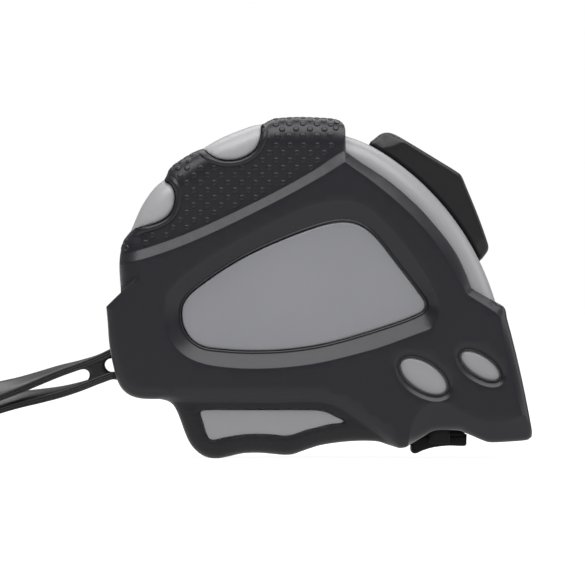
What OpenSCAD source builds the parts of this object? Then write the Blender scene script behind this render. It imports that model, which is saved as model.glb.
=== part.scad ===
// Five metre retractable tape measure with a 19 mm blade, a two-part plastic
// case in a soft rubber jacket, a thumb lock on the front arc, a finger brake
// under the nose, a belt clip and a wrist strap.
// Frame: +X forward through the mouth, +Z up, origin under the middle of the
// case on the surface it stands on. All sizes in millimetres.

/* [Case] */
// Overall thickness of the case over the rubber jacket
case_t = 38; // [37:0.5:39]
// Depth of the rubber jacket on each flat side
jacket_t = 2.5; // [2:0.1:3]
// Thickness of the plastic side walls
wall_t = 2; // [1.6:0.1:2.2]
// How far the smooth frame stands above the dotted grip and the handle
frame_step = 1.2; // [0.6:0.1:1.5]
// How far the label plates stand above the plastic case wall
plate_t = 1.1; // [0.8:0.1:1.4]

// Radius of the shoulder between the front arc and the side walls
shoulder_r = 4; // [3:0.1:4.5]

/* [Blade and reel] */
// Width of the blade
blade_w = 19; // [18:0.5:19]
// Thickness of a modelled blade strip
blade_t = 0.2; // [0.15:0.01:0.22]
// Rise of the blade's edges above its middle
blade_cup = 1.4; // [1:0.1:1.5]
// Height step between one blade strip and the next
strip_pitch = 0.3; // [0.28:0.01:0.32]
// Radius of the fully wound coil
coil_r = 21.5; // [20:0.5:21.5]
// Radius of the drum the blade winds on
drum_r = 15; // [13:0.5:16]
// Radius of the fixed centre post
post_r = 3; // [2.5:0.1:3.5]
// Radial running clearance of the reel on the post
run_gap = 0.08; // [0.05:0.01:0.1]

/* [Lock and brake] */
// Width of the thumb lock
lock_w = 18; // [14:1:20]
// Width of the slot that the lock's neck slides in
slot_w = 7; // [6:0.5:9]
// Width of the finger brake under the nose
brake_w = 16; // [14:0.5:16]

/* [Belt clip and screws] */
// Width of the belt clip
clip_w = 15; // [12:1:16]
// Thickness of the belt clip's spring steel
clip_t = 1; // [0.8:0.1:1.2]
// Gap between the side of the case and the belt clip
clip_gap = 5; // [4.6:0.1:5]
// Radius of the case screws' shanks
screw_r = 1.25; // [1:0.05:1.4]
// Radius of the case screws' heads
head_r = 2.2; // [2:0.05:2.3]

/* [Wrist strap] */
// Width of the strap's band
strap_w = 6; // [5:0.5:7]
// Thickness of the strap's band
strap_t = 1.3; // [1:0.1:1.5]

/* [Hidden] */
$fn = 48;
// y of the case's middle plane: the clip on the +Y side shifts the box centre
y_mid = -3;
h = case_t / 2;            // outer face of the jacket's frame
hw = h - jacket_t;         // outer face of the plastic side wall
hi = hw - wall_t;          // inner face of the plastic side wall
hg = h - frame_step;       // side face of the grip and the handle
hp = hw + plate_t;         // outer face of the label plate
// front arc of the case, and everything that slides along it
ax = -15.9; az = 16.1; ar = 53.2;
coil_x = -2; coil_z = 32;
pin_x = -37.5; pin_z = 19;

function arc_pts(r, a0, a1, n) =
  [for (i = [0:n]) let (a = a0 + (a1 - a0) * i / n) [ax + r * cos(a), az + r * sin(a)]];
function ellipse_pts(cx, cz, a, b, tilt, n = 40) =
  [for (i = [0:n - 1]) let (t = 360 * i / n, u = a * cos(t), v = b * sin(t))
    [cx + u * cos(tilt) - v * sin(tilt), cz + u * sin(tilt) + v * cos(tilt)]];

// Outline of the rubber jacket, clockwise from the rear corner
jacket_top = [[-42.5, 30.5], [-41, 32.2], [-40, 33.2], [-40.1, 38.5], [-40, 41],
  [-39.2, 43.5], [-37.6, 45.5], [-35.7, 50], [-34, 52.8], [-31, 55.6], [-30, 58],
  [-28.3, 59.2], [-26, 60.6], [-23.3, 61.9], [-21.5, 63.2], [-19.1, 64.5],
  [-15.9, 65.7], [-12.6, 66.8], [-11.2, 66.8], [-9.5, 67.7], [-6.6, 68],
  [-0.7, 68], [2.8, 67.7], [4.3, 67.2], [5.1, 66.2], [5.2, 61.7]];
jacket_front = [[7.1, 60.2], [10.1, 58.2], [14.1, 55.6], [16.1, 53.6], [20.1, 50],
  [24.1, 45], [26.1, 41.6], [28, 37.4], [29.6, 34], [32.1, 32.8], [35.3, 31], [37, 30]];
jacket_low = [[37.7, 26.6], [39.1, 21.2], [40.3, 16], [41.3, 11.2], [42.1, 7.2],
  [42.5, 5], [42.3, 4.1], [41.5, 3.6], [37, 3.3], [34.1, 3.2], [31.7, 4],
  [29.3, 4.6], [28.5, 5.6], [22.7, 5.6], [20.9, 4.6], [18.5, 3.1], [16.9, 2.1],
  [15.9, 2.1], [13.7, 2.6], [11.7, 3.5], [6.1, 3.4], [3.1, 3.1], [0.1, 2.6],
  [-1.9, 2], [-3.9, 1.4], [-5.3, 0.8], [-8.9, 0.9], [-11.9, 1.1], [-15.3, 1],
  [-17.9, 0.5], [-19.3, 0], [-21.7, 0], [-23.3, 0.6], [-24.7, 1.6], [-25.9, 3],
  [-26.7, 4.8], [-27.7, 7.6], [-28.5, 9.6], [-29.4, 10.9], [-30.5, 11.6],
  [-31.9, 11.8], [-35.9, 12], [-37.9, 12.6], [-39.5, 14], [-40.5, 16],
  [-41.1, 18.4], [-41.9, 22.6], [-42.2, 27.2]];
jacket_line = concat(jacket_top, jacket_front, jacket_low);

// Outline of the smooth frame that stands above the grip and the handle
frame_line = concat([[-42.5, 30.5], [-41, 32.2], [-40, 33.2], [-40, 39.8],
  [-37.5, 40.6], [-34.5, 41], [-31.9, 41.7], [-27.9, 43.1], [-19.9, 46.6],
  [-11.9, 50.7], [-3.9, 54.8], [0.1, 57.2], [2.5, 59], [5.2, 60.6]],
  [for (p = jacket_front) p],
  [[37.7, 26.6], [39.1, 21.2], [40.3, 16], [41.3, 11.2], [42.1, 7.2], [42.5, 5],
  [42.3, 4.1], [41.5, 3.6], [37, 3.3], [34.1, 3.2], [31.7, 4], [29.3, 4.6],
  [28.5, 5.6], [22.7, 5.6], [20.9, 4.6], [18.5, 3.1], [16.9, 2.1], [15.9, 2.1],
  [13.7, 3.4], [10.1, 6.6], [4.1, 10.6], [1.1, 11.9], [-15, 11.9], [-30, 11.9],
  [-31.9, 11.9], [-35.9, 12], [-37.9, 12.6], [-39.5, 14], [-40.5, 16],
  [-41.1, 18.4], [-41.9, 22.6], [-42.2, 27.2]]);

// Outer and inner outlines of the plastic case
case_line = concat([[-40.2, 30], [-38, 32.4], [-38, 41], [-35.6, 46], [-33, 50.6],
  [-29, 54.4], [-26, 58], [-20, 61.8], [-12, 64.8], [-6, 66], [0, 66], [3.2, 65.6]],
  arc_pts(ar, 66.6, 17.2, 26),
  [[35.8, 29], [36.2, 26], [37.5, 21], [38.8, 16], [39.7, 11], [39.9, 7], [39.9, 5.2],
  [30.5, 5.2], [20.5, 5.2], [17, 4.2], [12, 5], [6, 5], [0, 4.2], [-5, 3],
  [-14, 2.8], [-20, 2], [-23, 2.6], [-24.6, 5], [-26.5, 10], [-29, 13.4],
  [-36, 14], [-38.2, 15.6], [-39.2, 19], [-40, 26]]);
case_hollow = concat([[-38.2, 30], [-36, 33], [-36, 40.5], [-33.7, 45.2], [-31.2, 49.4],
  [-27.5, 53], [-24.6, 56.6], [-19.2, 60], [-11.4, 62.8], [-6, 64], [0, 64], [3.2, 63.6]],
  arc_pts(ar - 2, 66, 18, 24),
  [[33.4, 30], [34, 26], [35.3, 21], [36.7, 16], [37.6, 12], [37.9, 8], [37.9, 6.6],
  [30.5, 6.6], [20.5, 6.6], [17, 6.4], [12, 6.6], [6, 6.6], [0, 6], [-5, 5],
  [-14, 4.8], [-19.6, 4.2], [-21.6, 4.6], [-22.8, 6], [-24.6, 11], [-27.6, 15.4],
  [-35.2, 16], [-36.4, 16.8], [-37.2, 19.4], [-38, 26]]);

// Outline of the label plate, of the recess around it, and of the grey islands
plate_line = [[-27.4, 28.6], [-27.2, 30.6], [-25.9, 32.6], [-23.9, 34.2], [-19.9, 37.2],
  [-15.9, 39.6], [-11.9, 41.6], [-7.9, 43.4], [-3.9, 45], [0.1, 46.4], [4.1, 47.2],
  [6.5, 47], [8.5, 46.2], [10.1, 45.2], [12.1, 43], [14.1, 40.4], [16.1, 37.8],
  [18.1, 35.2], [20.1, 32.6], [20.9, 31.4], [20.9, 30.4], [20.3, 29.2], [19.1, 28.6],
  [16.1, 27.4], [12.1, 26], [8.1, 24.8], [4.1, 23.6], [0.1, 22.6], [-3.9, 22],
  [-7.9, 21.6], [-11.9, 21.5], [-15.9, 21.6], [-19.9, 21.9], [-22.5, 22.2],
  [-24.3, 23], [-25.9, 24.4], [-27.1, 26.6]];
recess_line = [[-29.3, 28.4], [-29.1, 31.2], [-27.5, 34], [-24.4, 36.4], [-20.6, 39],
  [-15.9, 41.8], [-11.9, 43.9], [-7.9, 46.2], [-1.9, 48.6], [4.1, 49.4], [7.1, 49.2],
  [10.1, 47.8], [13.1, 45], [16.1, 41], [19.1, 37], [21.7, 33.4], [22.8, 31.2],
  [22.7, 29.2], [20.9, 27.3], [16.1, 25.4], [12.1, 24], [6.1, 22.4], [0.1, 20.9],
  [-5.9, 20], [-11.9, 19.7], [-17.9, 19.9], [-22.9, 20.6], [-25.9, 21.8],
  [-28.3, 24.4]];
window_line = [[-23.8, 9.4], [-23.4, 9.8], [-0.3, 9.8], [1.1, 9.4], [3.1, 8.6],
  [5.1, 7.4], [4.7, 7.2], [2.1, 6.8], [-0.3, 6.2], [-2.9, 5.6], [-4.3, 5],
  [-5.9, 4.5], [-8.9, 4.6], [-13.9, 4.8], [-15.9, 4.6], [-18.9, 4.1], [-21.3, 3.7],
  [-22.1, 3.8], [-22.5, 4.6], [-23.3, 7.2]];
pad_one = [[-37.7, 45.3], [-36.7, 47.7], [-35.7, 50], [-34, 52.8], [-31.9, 54.8],
  [-31, 55.6], [-30.3, 55.2], [-29.3, 54.2], [-28.7, 53], [-28.7, 51], [-29.3, 49.4],
  [-30.3, 48], [-31.9, 47.1], [-33.9, 46.4], [-35.9, 45.9]];
pad_two = [[-23.3, 61.8], [-21.5, 63.2], [-19.1, 64.5], [-15.9, 65.7], [-12.6, 66.8],
  [-11.5, 66.8], [-11.5, 64.8], [-11.9, 63], [-12.7, 61.6], [-14.1, 60.4],
  [-15.9, 59.6], [-17.9, 59.3], [-19.9, 59.5], [-21.3, 60], [-22.5, 60.8]];
oval_big = ellipse_pts(20.7, 16.4, 5.3, 2.7, -33.5);
oval_small = ellipse_pts(32, 18.5, 4.5, 2, -33.5);
screw_at = [[-22, 54.5], [4, 56], [20.7, 16.4], [-33.5, 27]];
clip_screw_at = [-2, 40.6];

// Shifts from the case's middle plane to the part's frame
module place() { translate([0, y_mid, 0]) children(); }
// A side outline, extruded between two distances from the middle plane
module side(y0, y1, pts) {
  translate([0, y1, 0]) rotate([90, 0, 0]) linear_extrude(y1 - y0) polygon(pts);
}
// A round bar or hole along Y
module ybar(x, z, r, y0, y1) {
  translate([x, y1, z]) rotate([90, 0, 0]) cylinder(r = r, h = y1 - y0);
}
module ring(x, z, ro, ri, y0, y1) {
  difference() { ybar(x, z, ro, y0, y1); ybar(x, z, ri, y0 - 1, y1 + 1); }
}
module block(x0, x1, y0, y1, z0, z1) {
  translate([x0, y0, z0]) cube([x1 - x0, y1 - y0, z1 - z0]);
}
// A piece of the ring around the front arc's centre
module arc_bar(r0, r1, a0, a1, y0, y1, n = 16) {
  side(y0, y1, concat(arc_pts(r0, a0, a1, n), arc_pts(r1, a1, a0, n)));
}
module flip() { mirror([0, 1, 0]) children(); }

// Rounds the shoulder between the front arc and the side wall
module shoulder_cut() {
  r = shoulder_r;
  intersection() {
    translate([ax, 0, az]) rotate([90, 0, 0]) rotate_extrude($fn = 180)
      polygon(concat([for (i = [0:7]) let (a = 3 + 12 * i) [ar - r + (r - 0.1) * cos(a), hw - r + (r - 0.1) * sin(a)]],
        [[ar - r + 0.2, hw + 3], [ar + 3, hw + 3], [ar + 3, hw - r + 0.2]]));
    side(-hw - 3, 0, [[5.2, 56], [5.2, 72], [45, 72], [45, 31.2], [32, 31.2], [30, 33.6], [29, 34.2], [22, 46], [12, 56]]);
  }
}
// Cuts that both halves share: mouth, lock slot, brake opening, strap pocket
module case_cuts() {
  block(36, 45, -10.3, 10.3, 6.6, 12.2);
  block(39.6, 46, -11.5, 11.5, -1, 13);
  arc_bar(ar - 4, ar + 3, 20, 60, -slot_w / 2, slot_w / 2);
  block(17.9, 29.7, -brake_w / 2 - 0.4, brake_w / 2 + 0.4, -1, 6.7);
  block(21.6, 26.4, -13, 13, -1, 6.7);
  block(-43, -33.8, -strap_w / 2 - 0.8, strap_w / 2 + 0.8, 14.6, 23.4);
}
// One half of the case, on the -Y side of the middle plane
module case_half() {
  difference() {
    union() {
      difference() {
        side(-hw, 0, case_line);
        side(-hi, 1, case_hollow);
      }
      side(-hg, 0, pad_one);
      side(-hg, 0, pad_two);
      side(-hg + 0.2, -hi - 0.5, window_line);
      side(-h + 0.6, -hi - 0.5, oval_big);
      side(-h + 0.6, -hi - 0.5, oval_small);
      ybar(coil_x, coil_z, 5, -hi - 0.5, -11.6);
      for (p = screw_at) ybar(p[0], p[1], 2.6, -hi - 0.5, -0.05);
      block(-39, -35.6, -7, -strap_w / 2 - 1.2, 16.4, 21.6);
      block(22, 26, -hi - 0.5, -10.4, 13, 14.2);
    }
    case_cuts();
    shoulder_cut();
    ybar(coil_x, coil_z, post_r + 0.05, -hi, 0);
    ybar(pin_x, pin_z, 2.25, -6.6, 0);
  }
}

// ---- case -------------------------------------------------------------
module case_left() {
  color([0.56, 0.56, 0.58]) place() difference() {
    case_half();
    for (p = screw_at) ybar(p[0], p[1], screw_r + 0.05, -12.5, 1);
  }
}
module case_right() {
  color([0.56, 0.56, 0.58]) place() difference() {
    union() {
      flip() case_half();
      ybar(clip_screw_at[0], clip_screw_at[1], 3.5, 11.7, hi + 0.5);
    }
    for (p = screw_at) {
      ybar(p[0], p[1], screw_r + 0.35, -1, 20);
      ybar(p[0], p[1], head_r + 0.2, hw - 1.4, 20);
    }
    ybar(clip_screw_at[0], clip_screw_at[1], 1.7, 11, 20);
  }
}

// ---- jacket -----------------------------------------------------------
module jacket_half() {
  difference() {
    union() {
      side(-hg, 0, jacket_line);
      side(-h, -hg + 0.1, frame_line);
    }
    side(-hw, 1, case_line);
    side(-h - 1, 1, pad_one);
    side(-h - 1, 1, pad_two);
    side(-h - 1, -hw + 1, window_line);
    side(-h - 1, -hw + 1, oval_big);
    side(-h - 1, -hw + 1, oval_small);
    side(-h - 1, -hw + 1, plate_line);
    side(-h - 1, -h + 1.6, recess_line);
    ybar(pin_x, pin_z, 2.3, -6.6, 0);
    case_cuts();
  }
}
module jacket_left() { color([0.17, 0.17, 0.19]) place() jacket_half(); }
module jacket_right() {
  color([0.17, 0.17, 0.19]) place() difference() {
    flip() jacket_half();
    for (p = screw_at) ybar(p[0], p[1], head_r + 0.4, 10, 20);
  }
}
module label_plate_left() {
  color([0.54, 0.54, 0.56]) place() side(-hp, -hw, plate_line);
}
module label_plate_right() {
  color([0.54, 0.54, 0.56]) place() difference() {
    side(hw, hp, plate_line);
    ybar(clip_screw_at[0], clip_screw_at[1], 2, 10, 20);
  }
}

// ---- reel and spring --------------------------------------------------
module reel() {
  color([0.85, 0.82, 0.7]) place() {
    difference() {
      union() {
        ybar(coil_x, coil_z, drum_r, -9.6, 9.6);
        ybar(coil_x, coil_z, coil_r + 0.3, -10.4, -9.6);
        ybar(coil_x, coil_z, coil_r + 0.3, 9.6, 10.4);
      }
      ybar(coil_x, coil_z, drum_r - 1.4, -8.4, 11);
      ybar(coil_x, coil_z, post_r + run_gap, -12, 12);
    }
  }
}
module spring_cover() {
  color([0.75, 0.76, 0.78]) place() ring(coil_x, coil_z, drum_r - 1.45, post_r + run_gap, 8.6, 9.6);
}
module power_spring() {
  n = 168;
  function sp(i, o) = let (a = 360 * 7 * i / n, r = post_r + 0.5 + (drum_r - 1.9 - post_r - 0.5) * i / n + o)
    [coil_x + r * cos(a), coil_z + r * sin(a)];
  color([0.45, 0.5, 0.6]) place()
    side(-7.6, 7.6, concat([for (i = [0:n]) sp(i, 0.1)], [for (i = [n:-1:0]) sp(i, -0.1)]));
}
module centre_post() {
  color([0.75, 0.76, 0.78]) place() ybar(coil_x, coil_z, post_r, -hi + 0.1, hi - 0.1);
}
module side_disc_left() {
  color([0.9, 0.9, 0.88]) place() ring(coil_x, coil_z, coil_r - 0.5, post_r + 0.5, -11.4, -10.9);
}
module side_disc_right() {
  color([0.9, 0.9, 0.88]) place() ring(coil_x, coil_z, coil_r - 0.5, post_r + 0.5, 10.9, 11.4);
}

// ---- blade ------------------------------------------------------------
module blade_coil() {
  color([0.95, 0.8, 0.15]) place() ring(coil_x, coil_z, coil_r, drum_r + 0.02, -blade_w / 2, blade_w / 2);
}
cup_r = (pow(blade_w / 2, 2) + pow(blade_cup, 2)) / (2 * blade_cup);
// A cupped strip along X whose lowest line is at z0
module cupped(x0, x1, z0, t, w) {
  intersection() {
    translate([x0, 0, z0 + cup_r]) rotate([0, 90, 0]) difference() {
      cylinder(r = cup_r, h = x1 - x0, $fn = 96);
      translate([0, 0, -1]) cylinder(r = cup_r - t, h = x1 - x0 + 2, $fn = 96);
    }
    block(x0 - 1, x1 + 1, -w / 2, w / 2, z0 - 1, z0 + 6);
  }
}
strip_z = 7;
tip_z = strip_z + 3 * strip_pitch;
rivets_at = [[36.8, -3.5], [36.8, 3.5], [33.4, 0]];
module blade_tip() {
  color([0.95, 0.8, 0.15]) place() difference() {
    cupped(-21, 40.2, tip_z, blade_t, blade_w);
    for (p = rivets_at) translate([p[0], p[1], 5]) cylinder(r = 1, h = 5);
  }
}
module blade_second() { color([0.95, 0.8, 0.15]) place() cupped(-21, 38.5, tip_z - strip_pitch, blade_t, blade_w); }
module blade_third() { color([0.95, 0.8, 0.15]) place() cupped(-21, 38.5, tip_z - 2 * strip_pitch, blade_t, blade_w); }
module blade_fourth() { color([0.95, 0.8, 0.15]) place() cupped(-21, 38.5, strip_z, blade_t, blade_w); }
leaf_z = tip_z + blade_t + 0.1;
module end_hook() {
  color([0.78, 0.79, 0.8]) place() difference() {
    union() {
      cupped(31, 40.8, leaf_z, 0.6, blade_w - 1);
      block(40.3, 41, -blade_w / 2, blade_w / 2, 3.6, 10.8);
    }
    for (p = rivets_at) {
      translate([p[0] - 1, p[1], 5]) cylinder(r = 1.1, h = 8);
      translate([p[0] + 0.1, p[1], 5]) cylinder(r = 1.1, h = 8);
      block(p[0] - 1, p[0] + 0.1, p[1] - 1.1, p[1] + 1.1, 5, 13);
    }
  }
}
module hook_rivets() {
  color([0.8, 0.78, 0.72]) place() for (p = rivets_at) {
    rise = p[1] == 0 ? 0.05 : 0.42;
    translate([p[0], p[1], tip_z + rise / 2]) cylinder(r = 0.98, h = 1.5);
    translate([p[0], p[1], leaf_z + 0.65 + rise]) cylinder(r = 1.7, h = 0.35);
    translate([p[0], p[1], leaf_z + 0.99 + rise]) cylinder(r1 = 1.7, r2 = 1.1, h = 0.3);
  }
}

// ---- thumb lock -------------------------------------------------------
lock_line = concat([[9.9, 63.2], [11.2, 64.2], [12.1, 64.6], [13.3, 65.2], [14.3, 65.1],
  [15.7, 64.7], [18, 63.2], [24, 59.8], [27, 58], [28, 57.1], [28.5, 56.2], [29.3, 54.2],
  [30.7, 50.6], [32.1, 47.2], [33.3, 43.6], [33.7, 42.2], [33.5, 41.2], [32.9, 40.3]],
  arc_pts(ar + 0.4, 26.6, 61, 18));
module thumb_lock() {
  color([0.15, 0.15, 0.16]) place() {
    side(-lock_w / 2, lock_w / 2, lock_line);
    arc_bar(ar - 2.6, ar + 0.6, 30, 52, -slot_w / 2 + 0.4, slot_w / 2 - 0.4);
  }
}
module lock_slider() {
  color([0.3, 0.3, 0.32]) place() arc_bar(ar - 4.2, ar - 2.6, 3.4, 56, -6, 6, 24);
}
module lock_pad() {
  color([0.55, 0.15, 0.1]) place() arc_bar(ar - 6.2, ar - 2.6, 1.2, 3.4, -6, 6, 4);
}

// ---- brake ------------------------------------------------------------
brake_line = [[18.1, 3.8], [18.1, 2.2], [18.5, 1.3], [19.3, 0.9], [20.5, 1.3], [23.1, 2],
  [26.1, 2.4], [29.3, 2.4], [29.5, 3], [29.5, 4.2], [28.7, 4.4], [19, 4.4]];
module brake_button() {
  color([0.12, 0.12, 0.13]) place() difference() {
    union() {
      side(-brake_w / 2, brake_w / 2, brake_line);
      block(22, 26, -12.6, 12.6, 3, 4.4);
      for (s = [-1, 1]) {
        block(22, 26, s > 0 ? 10.8 : -12.6, s > 0 ? 12.6 : -10.8, 3, 7.6);
        block(22, 26, s > 0 ? 10.8 : -14, s > 0 ? 14 : -10.8, 6.9, 7.8);
      }
    }
    block(20.9, 27.1, -5.1, 5.1, 4, 5);
  }
}
module brake_pad() { color([0.3, 0.28, 0.26]) place() block(21, 27, -5, 5, 4, 4.9); }
module brake_springs() {
  n = 40; turns = 4; rr = 1.1; wr = 0.2; k = 6;
  z0 = 7.8 + wr; z1 = 13 - wr;
  for (s = [-1, 1]) color([0.75, 0.76, 0.78]) place() translate([24, s * 12.4, 0])
    polyhedron(
      points = [for (i = [0:n]) let (a = 360 * turns * i / n) for (j = [0:k - 1])
        let (b = 360 * j / k, q = rr + wr * cos(b))
        [q * cos(a), q * sin(a), z0 + (z1 - z0) * i / n + wr * sin(b)]],
      faces = concat([[for (j = [0:k - 1]) j]], [[for (j = [k - 1:-1:0]) n * k + j]],
        [for (i = [0:n - 1]) for (j = [0:k - 1]) [i * k + j, (i + 1) * k + j, (i + 1) * k + (j + 1) % k]],
        [for (i = [0:n - 1]) for (j = [0:k - 1]) [i * k + j, (i + 1) * k + (j + 1) % k, i * k + (j + 1) % k]]),
      convexity = 4);
}

// ---- mouth ------------------------------------------------------------
module mouth_bumper() { color([0.12, 0.12, 0.13]) place() block(39.6, 40.2, -11.4, 11.4, 4, 6.5); }
module mouth_guide() { color([0.78, 0.79, 0.8]) place() block(31.5, 39.4, -10.2, 10.2, 6.6, 6.85); }

// ---- screws, belt clip, strap pin ------------------------------------
module case_screws() {
  color([0.75, 0.76, 0.78]) place() for (p = screw_at) difference() {
    union() {
      ybar(p[0], p[1], screw_r, -11.5, hw - 1.3);
      ybar(p[0], p[1], head_r, hw - 1.4, hw + 0.4);
    }
    for (a = [0, 90]) translate([p[0], hw + 0.1, p[1]]) rotate([0, a, 0]) cube([2.8, 1.6, 0.7], center = true);
  }
}
module clip_profile(pts) {
  translate([coil_x - clip_w / 2, 0, 0]) rotate([90, 0, 90]) linear_extrude(clip_w) polygon(pts);
}
module belt_clip_root() {
  color([0.72, 0.73, 0.75]) place() difference() {
    clip_profile([[hp, 34], [hp + clip_t, 34], [hp + clip_t, 44.6], [hp, 44.6]]);
    ybar(clip_screw_at[0], clip_screw_at[1], 2, 10, 22);
  }
}
module belt_clip() {
  o = h + clip_gap;
  color([0.72, 0.73, 0.75]) place()
    clip_profile([[hp, 33.9], [hp + clip_t, 33.9], [hp + 1.6, 32.6], [o - 0.2, 28.4], [o + clip_t, 26.4],
      [o + clip_t, 14.6], [h + 1.9, 9.6], [h + 3.6, 7.6], [h + 2.6, 7.2], [h + 0.6, 9.6],
      [o, 15], [o, 26.6], [o - 0.9, 28], [hp + 0.5, 32.4]]);
}
module belt_clip_screw() {
  color([0.75, 0.76, 0.78]) place() difference() {
    union() {
      ybar(clip_screw_at[0], clip_screw_at[1], 1.65, 12, hp + clip_t + 0.1);
      ybar(clip_screw_at[0], clip_screw_at[1], 3.2, hp + clip_t, hp + clip_t + 1.5);
    }
    for (a = [0, 90]) translate([clip_screw_at[0], hp + clip_t + 1.3, clip_screw_at[1]])
      rotate([0, a, 0]) cube([3.6, 1.4, 0.8], center = true);
  }
}
module strap_pin() { color([0.75, 0.76, 0.78]) place() ybar(pin_x, pin_z, 2.2, -6.5, 6.5); }

// ---- wrist strap ------------------------------------------------------
// Route of the band's middle line: x, y from the middle plane, z, and how far
// its width is turned from lying along Y towards standing upright, in degrees
strap_route = [[-34.7, 0, 19.4, 0], [-35.1, 0, 21, 0], [-36.2, 0, 22.1, 0], [-37.6, 0, 22.4, 0],
  [-39.5, 0, 22, 0], [-41.5, 0, 21.2, 0], [-44, 0, 20, 0], [-48, -0.1, 18.6, 4], [-52, -0.2, 17.4, 9],
  [-56, -0.5, 16, 14], [-60, -0.9, 14.6, 20], [-64, -1.4, 13.4, 27], [-70, -2.6, 11.6, 38],
  [-77, -4.6, 9.2, 52], [-85, -7.2, 6.4, 68], [-93, -9.6, 4.2, 82], [-101, -11.6, 3.2, 90],
  [-110, -13, 3.1, 90], [-119, -13.4, 3.1, 90], [-128, -12.6, 3.1, 90], [-135, -10.4, 3.1, 90],
  [-140, -6.8, 3.1, 90], [-142.6, -2.2, 3.1, 90], [-142.6, 2.4, 3.1, 90], [-140, 7, 3.1, 90],
  [-135, 10.6, 3.1, 90], [-128, 12.8, 3.1, 90], [-119, 13.6, 3.1, 90], [-110, 13.2, 3.1, 90],
  [-101, 11.8, 3.1, 90], [-93, 9.8, 3.6, 84], [-85, 7.4, 5, 72], [-77, 4.8, 7.2, 56],
  [-70, 2.8, 9.2, 41], [-64, 1.4, 10.8, 29], [-60, 0.9, 11.6, 21], [-56, 0.5, 12.3, 15],
  [-52, 0.2, 13.1, 9], [-48, 0.1, 14.2, 4], [-44, 0, 15.6, 0], [-41.5, 0, 16.4, 0],
  [-39.5, 0, 16, 0], [-37.6, 0, 15.6, 0], [-36.2, 0, 15.9, 0], [-35.1, 0, 17, 0], [-34.7, 0, 18.6, 0]];
function sub(a, b) = [a[0] - b[0], a[1] - b[1], a[2] - b[2]];
function unit(v) = v / norm(v);
module wrist_strap() {
  n = len(strap_route);
  k = 8;
  w = strap_w / 2; t = strap_t / 2; c = 0.35;
  prof = [[w, t - c], [w - c, t], [-w + c, t], [-w, t - c], [-w, -t + c], [-w + c, -t], [w - c, -t], [w, -t + c]];
  // al is the route's direction, and the width's direction turns upright with
  // the fourth value
  color([0.16, 0.16, 0.17]) place() polyhedron(
    points = [for (i = [0:n - 1])
      let (p = strap_route[i],
        al = unit(sub(strap_route[min(i + 1, n - 1)], strap_route[max(i - 1, 0)])),
        a = p[3],
        wd0 = [0, cos(a), sin(a)],
        wd = unit([wd0[0], wd0[1], wd0[2]] - (wd0 * al) * [al[0], al[1], al[2]]),
        nd = cross(al, wd))
      for (q = prof) [p[0] + wd[0] * q[0] + nd[0] * q[1], p[1] + wd[1] * q[0] + nd[1] * q[1], p[2] + wd[2] * q[0] + nd[2] * q[1]]],
    faces = concat([[for (j = [0:k - 1]) j]], [[for (j = [k - 1:-1:0]) (n - 1) * k + j]],
      [for (i = [0:n - 2]) for (j = [0:k - 1]) [i * k + j, (i + 1) * k + j, (i + 1) * k + (j + 1) % k]],
      [for (i = [0:n - 2]) for (j = [0:k - 1]) [i * k + j, (i + 1) * k + (j + 1) % k, i * k + (j + 1) % k]]),
    convexity = 6);
}
module strap_bridge() {
  color([0.16, 0.16, 0.17]) place()
    side(-strap_w / 2, strap_w / 2, [[-46.4, 18.2], [-43.6, 19.2], [-42.8, 18], [-42.9, 17.4], [-43.4, 16.7], [-46.4, 15.6], [-46, 17]]);
}

case_left();
case_right();
jacket_left();
jacket_right();
label_plate_left();
label_plate_right();
reel();
spring_cover();
power_spring();
centre_post();
side_disc_left();
side_disc_right();
blade_coil();
blade_tip();
blade_second();
blade_third();
blade_fourth();
end_hook();
hook_rivets();
thumb_lock();
lock_slider();
lock_pad();
brake_button();
brake_pad();
brake_springs();
mouth_bumper();
mouth_guide();
case_screws();
belt_clip_root();
belt_clip();
belt_clip_screw();
strap_pin();
wrist_strap();
strap_bridge();
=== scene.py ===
import math
import bpy
import bmesh
import numpy as np
from mathutils import Vector, Matrix
from mathutils.geometry import delaunay_2d_cdt


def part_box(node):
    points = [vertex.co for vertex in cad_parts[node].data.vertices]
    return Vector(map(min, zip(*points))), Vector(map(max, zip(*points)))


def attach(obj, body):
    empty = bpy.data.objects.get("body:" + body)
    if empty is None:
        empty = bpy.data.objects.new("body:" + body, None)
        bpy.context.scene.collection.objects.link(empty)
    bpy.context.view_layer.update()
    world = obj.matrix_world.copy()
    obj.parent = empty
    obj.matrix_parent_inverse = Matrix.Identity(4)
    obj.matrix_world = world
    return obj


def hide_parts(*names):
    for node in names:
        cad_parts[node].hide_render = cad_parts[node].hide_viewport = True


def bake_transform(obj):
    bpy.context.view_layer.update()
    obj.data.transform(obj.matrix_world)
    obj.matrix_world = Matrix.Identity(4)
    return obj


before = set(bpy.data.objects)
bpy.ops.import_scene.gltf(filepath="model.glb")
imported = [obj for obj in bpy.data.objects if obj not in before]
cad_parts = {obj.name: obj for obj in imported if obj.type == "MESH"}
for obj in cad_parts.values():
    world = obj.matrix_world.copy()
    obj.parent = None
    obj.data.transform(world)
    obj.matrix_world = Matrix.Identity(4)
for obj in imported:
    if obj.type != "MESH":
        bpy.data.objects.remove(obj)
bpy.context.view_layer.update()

scene = bpy.context.scene
MM = 0.001

# ---------------------------------------------------------------- the frame
# Everything below is worked out in millimetres, with y measured from the
# case's middle plane, where the two jacket halves meet.
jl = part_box("jacket_left")
YM = jl[1].y * 1000.0
H = YM - jl[0].y * 1000.0            # outer face of the frame
HW = H - 2.5                         # outer face of the plastic wall
HG = H - 1.2                         # grip
HH = H - 1.45                        # handle
AX, AZ, AR = -15.9, 16.1, 53.2       # centre and radius of the front arc


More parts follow.
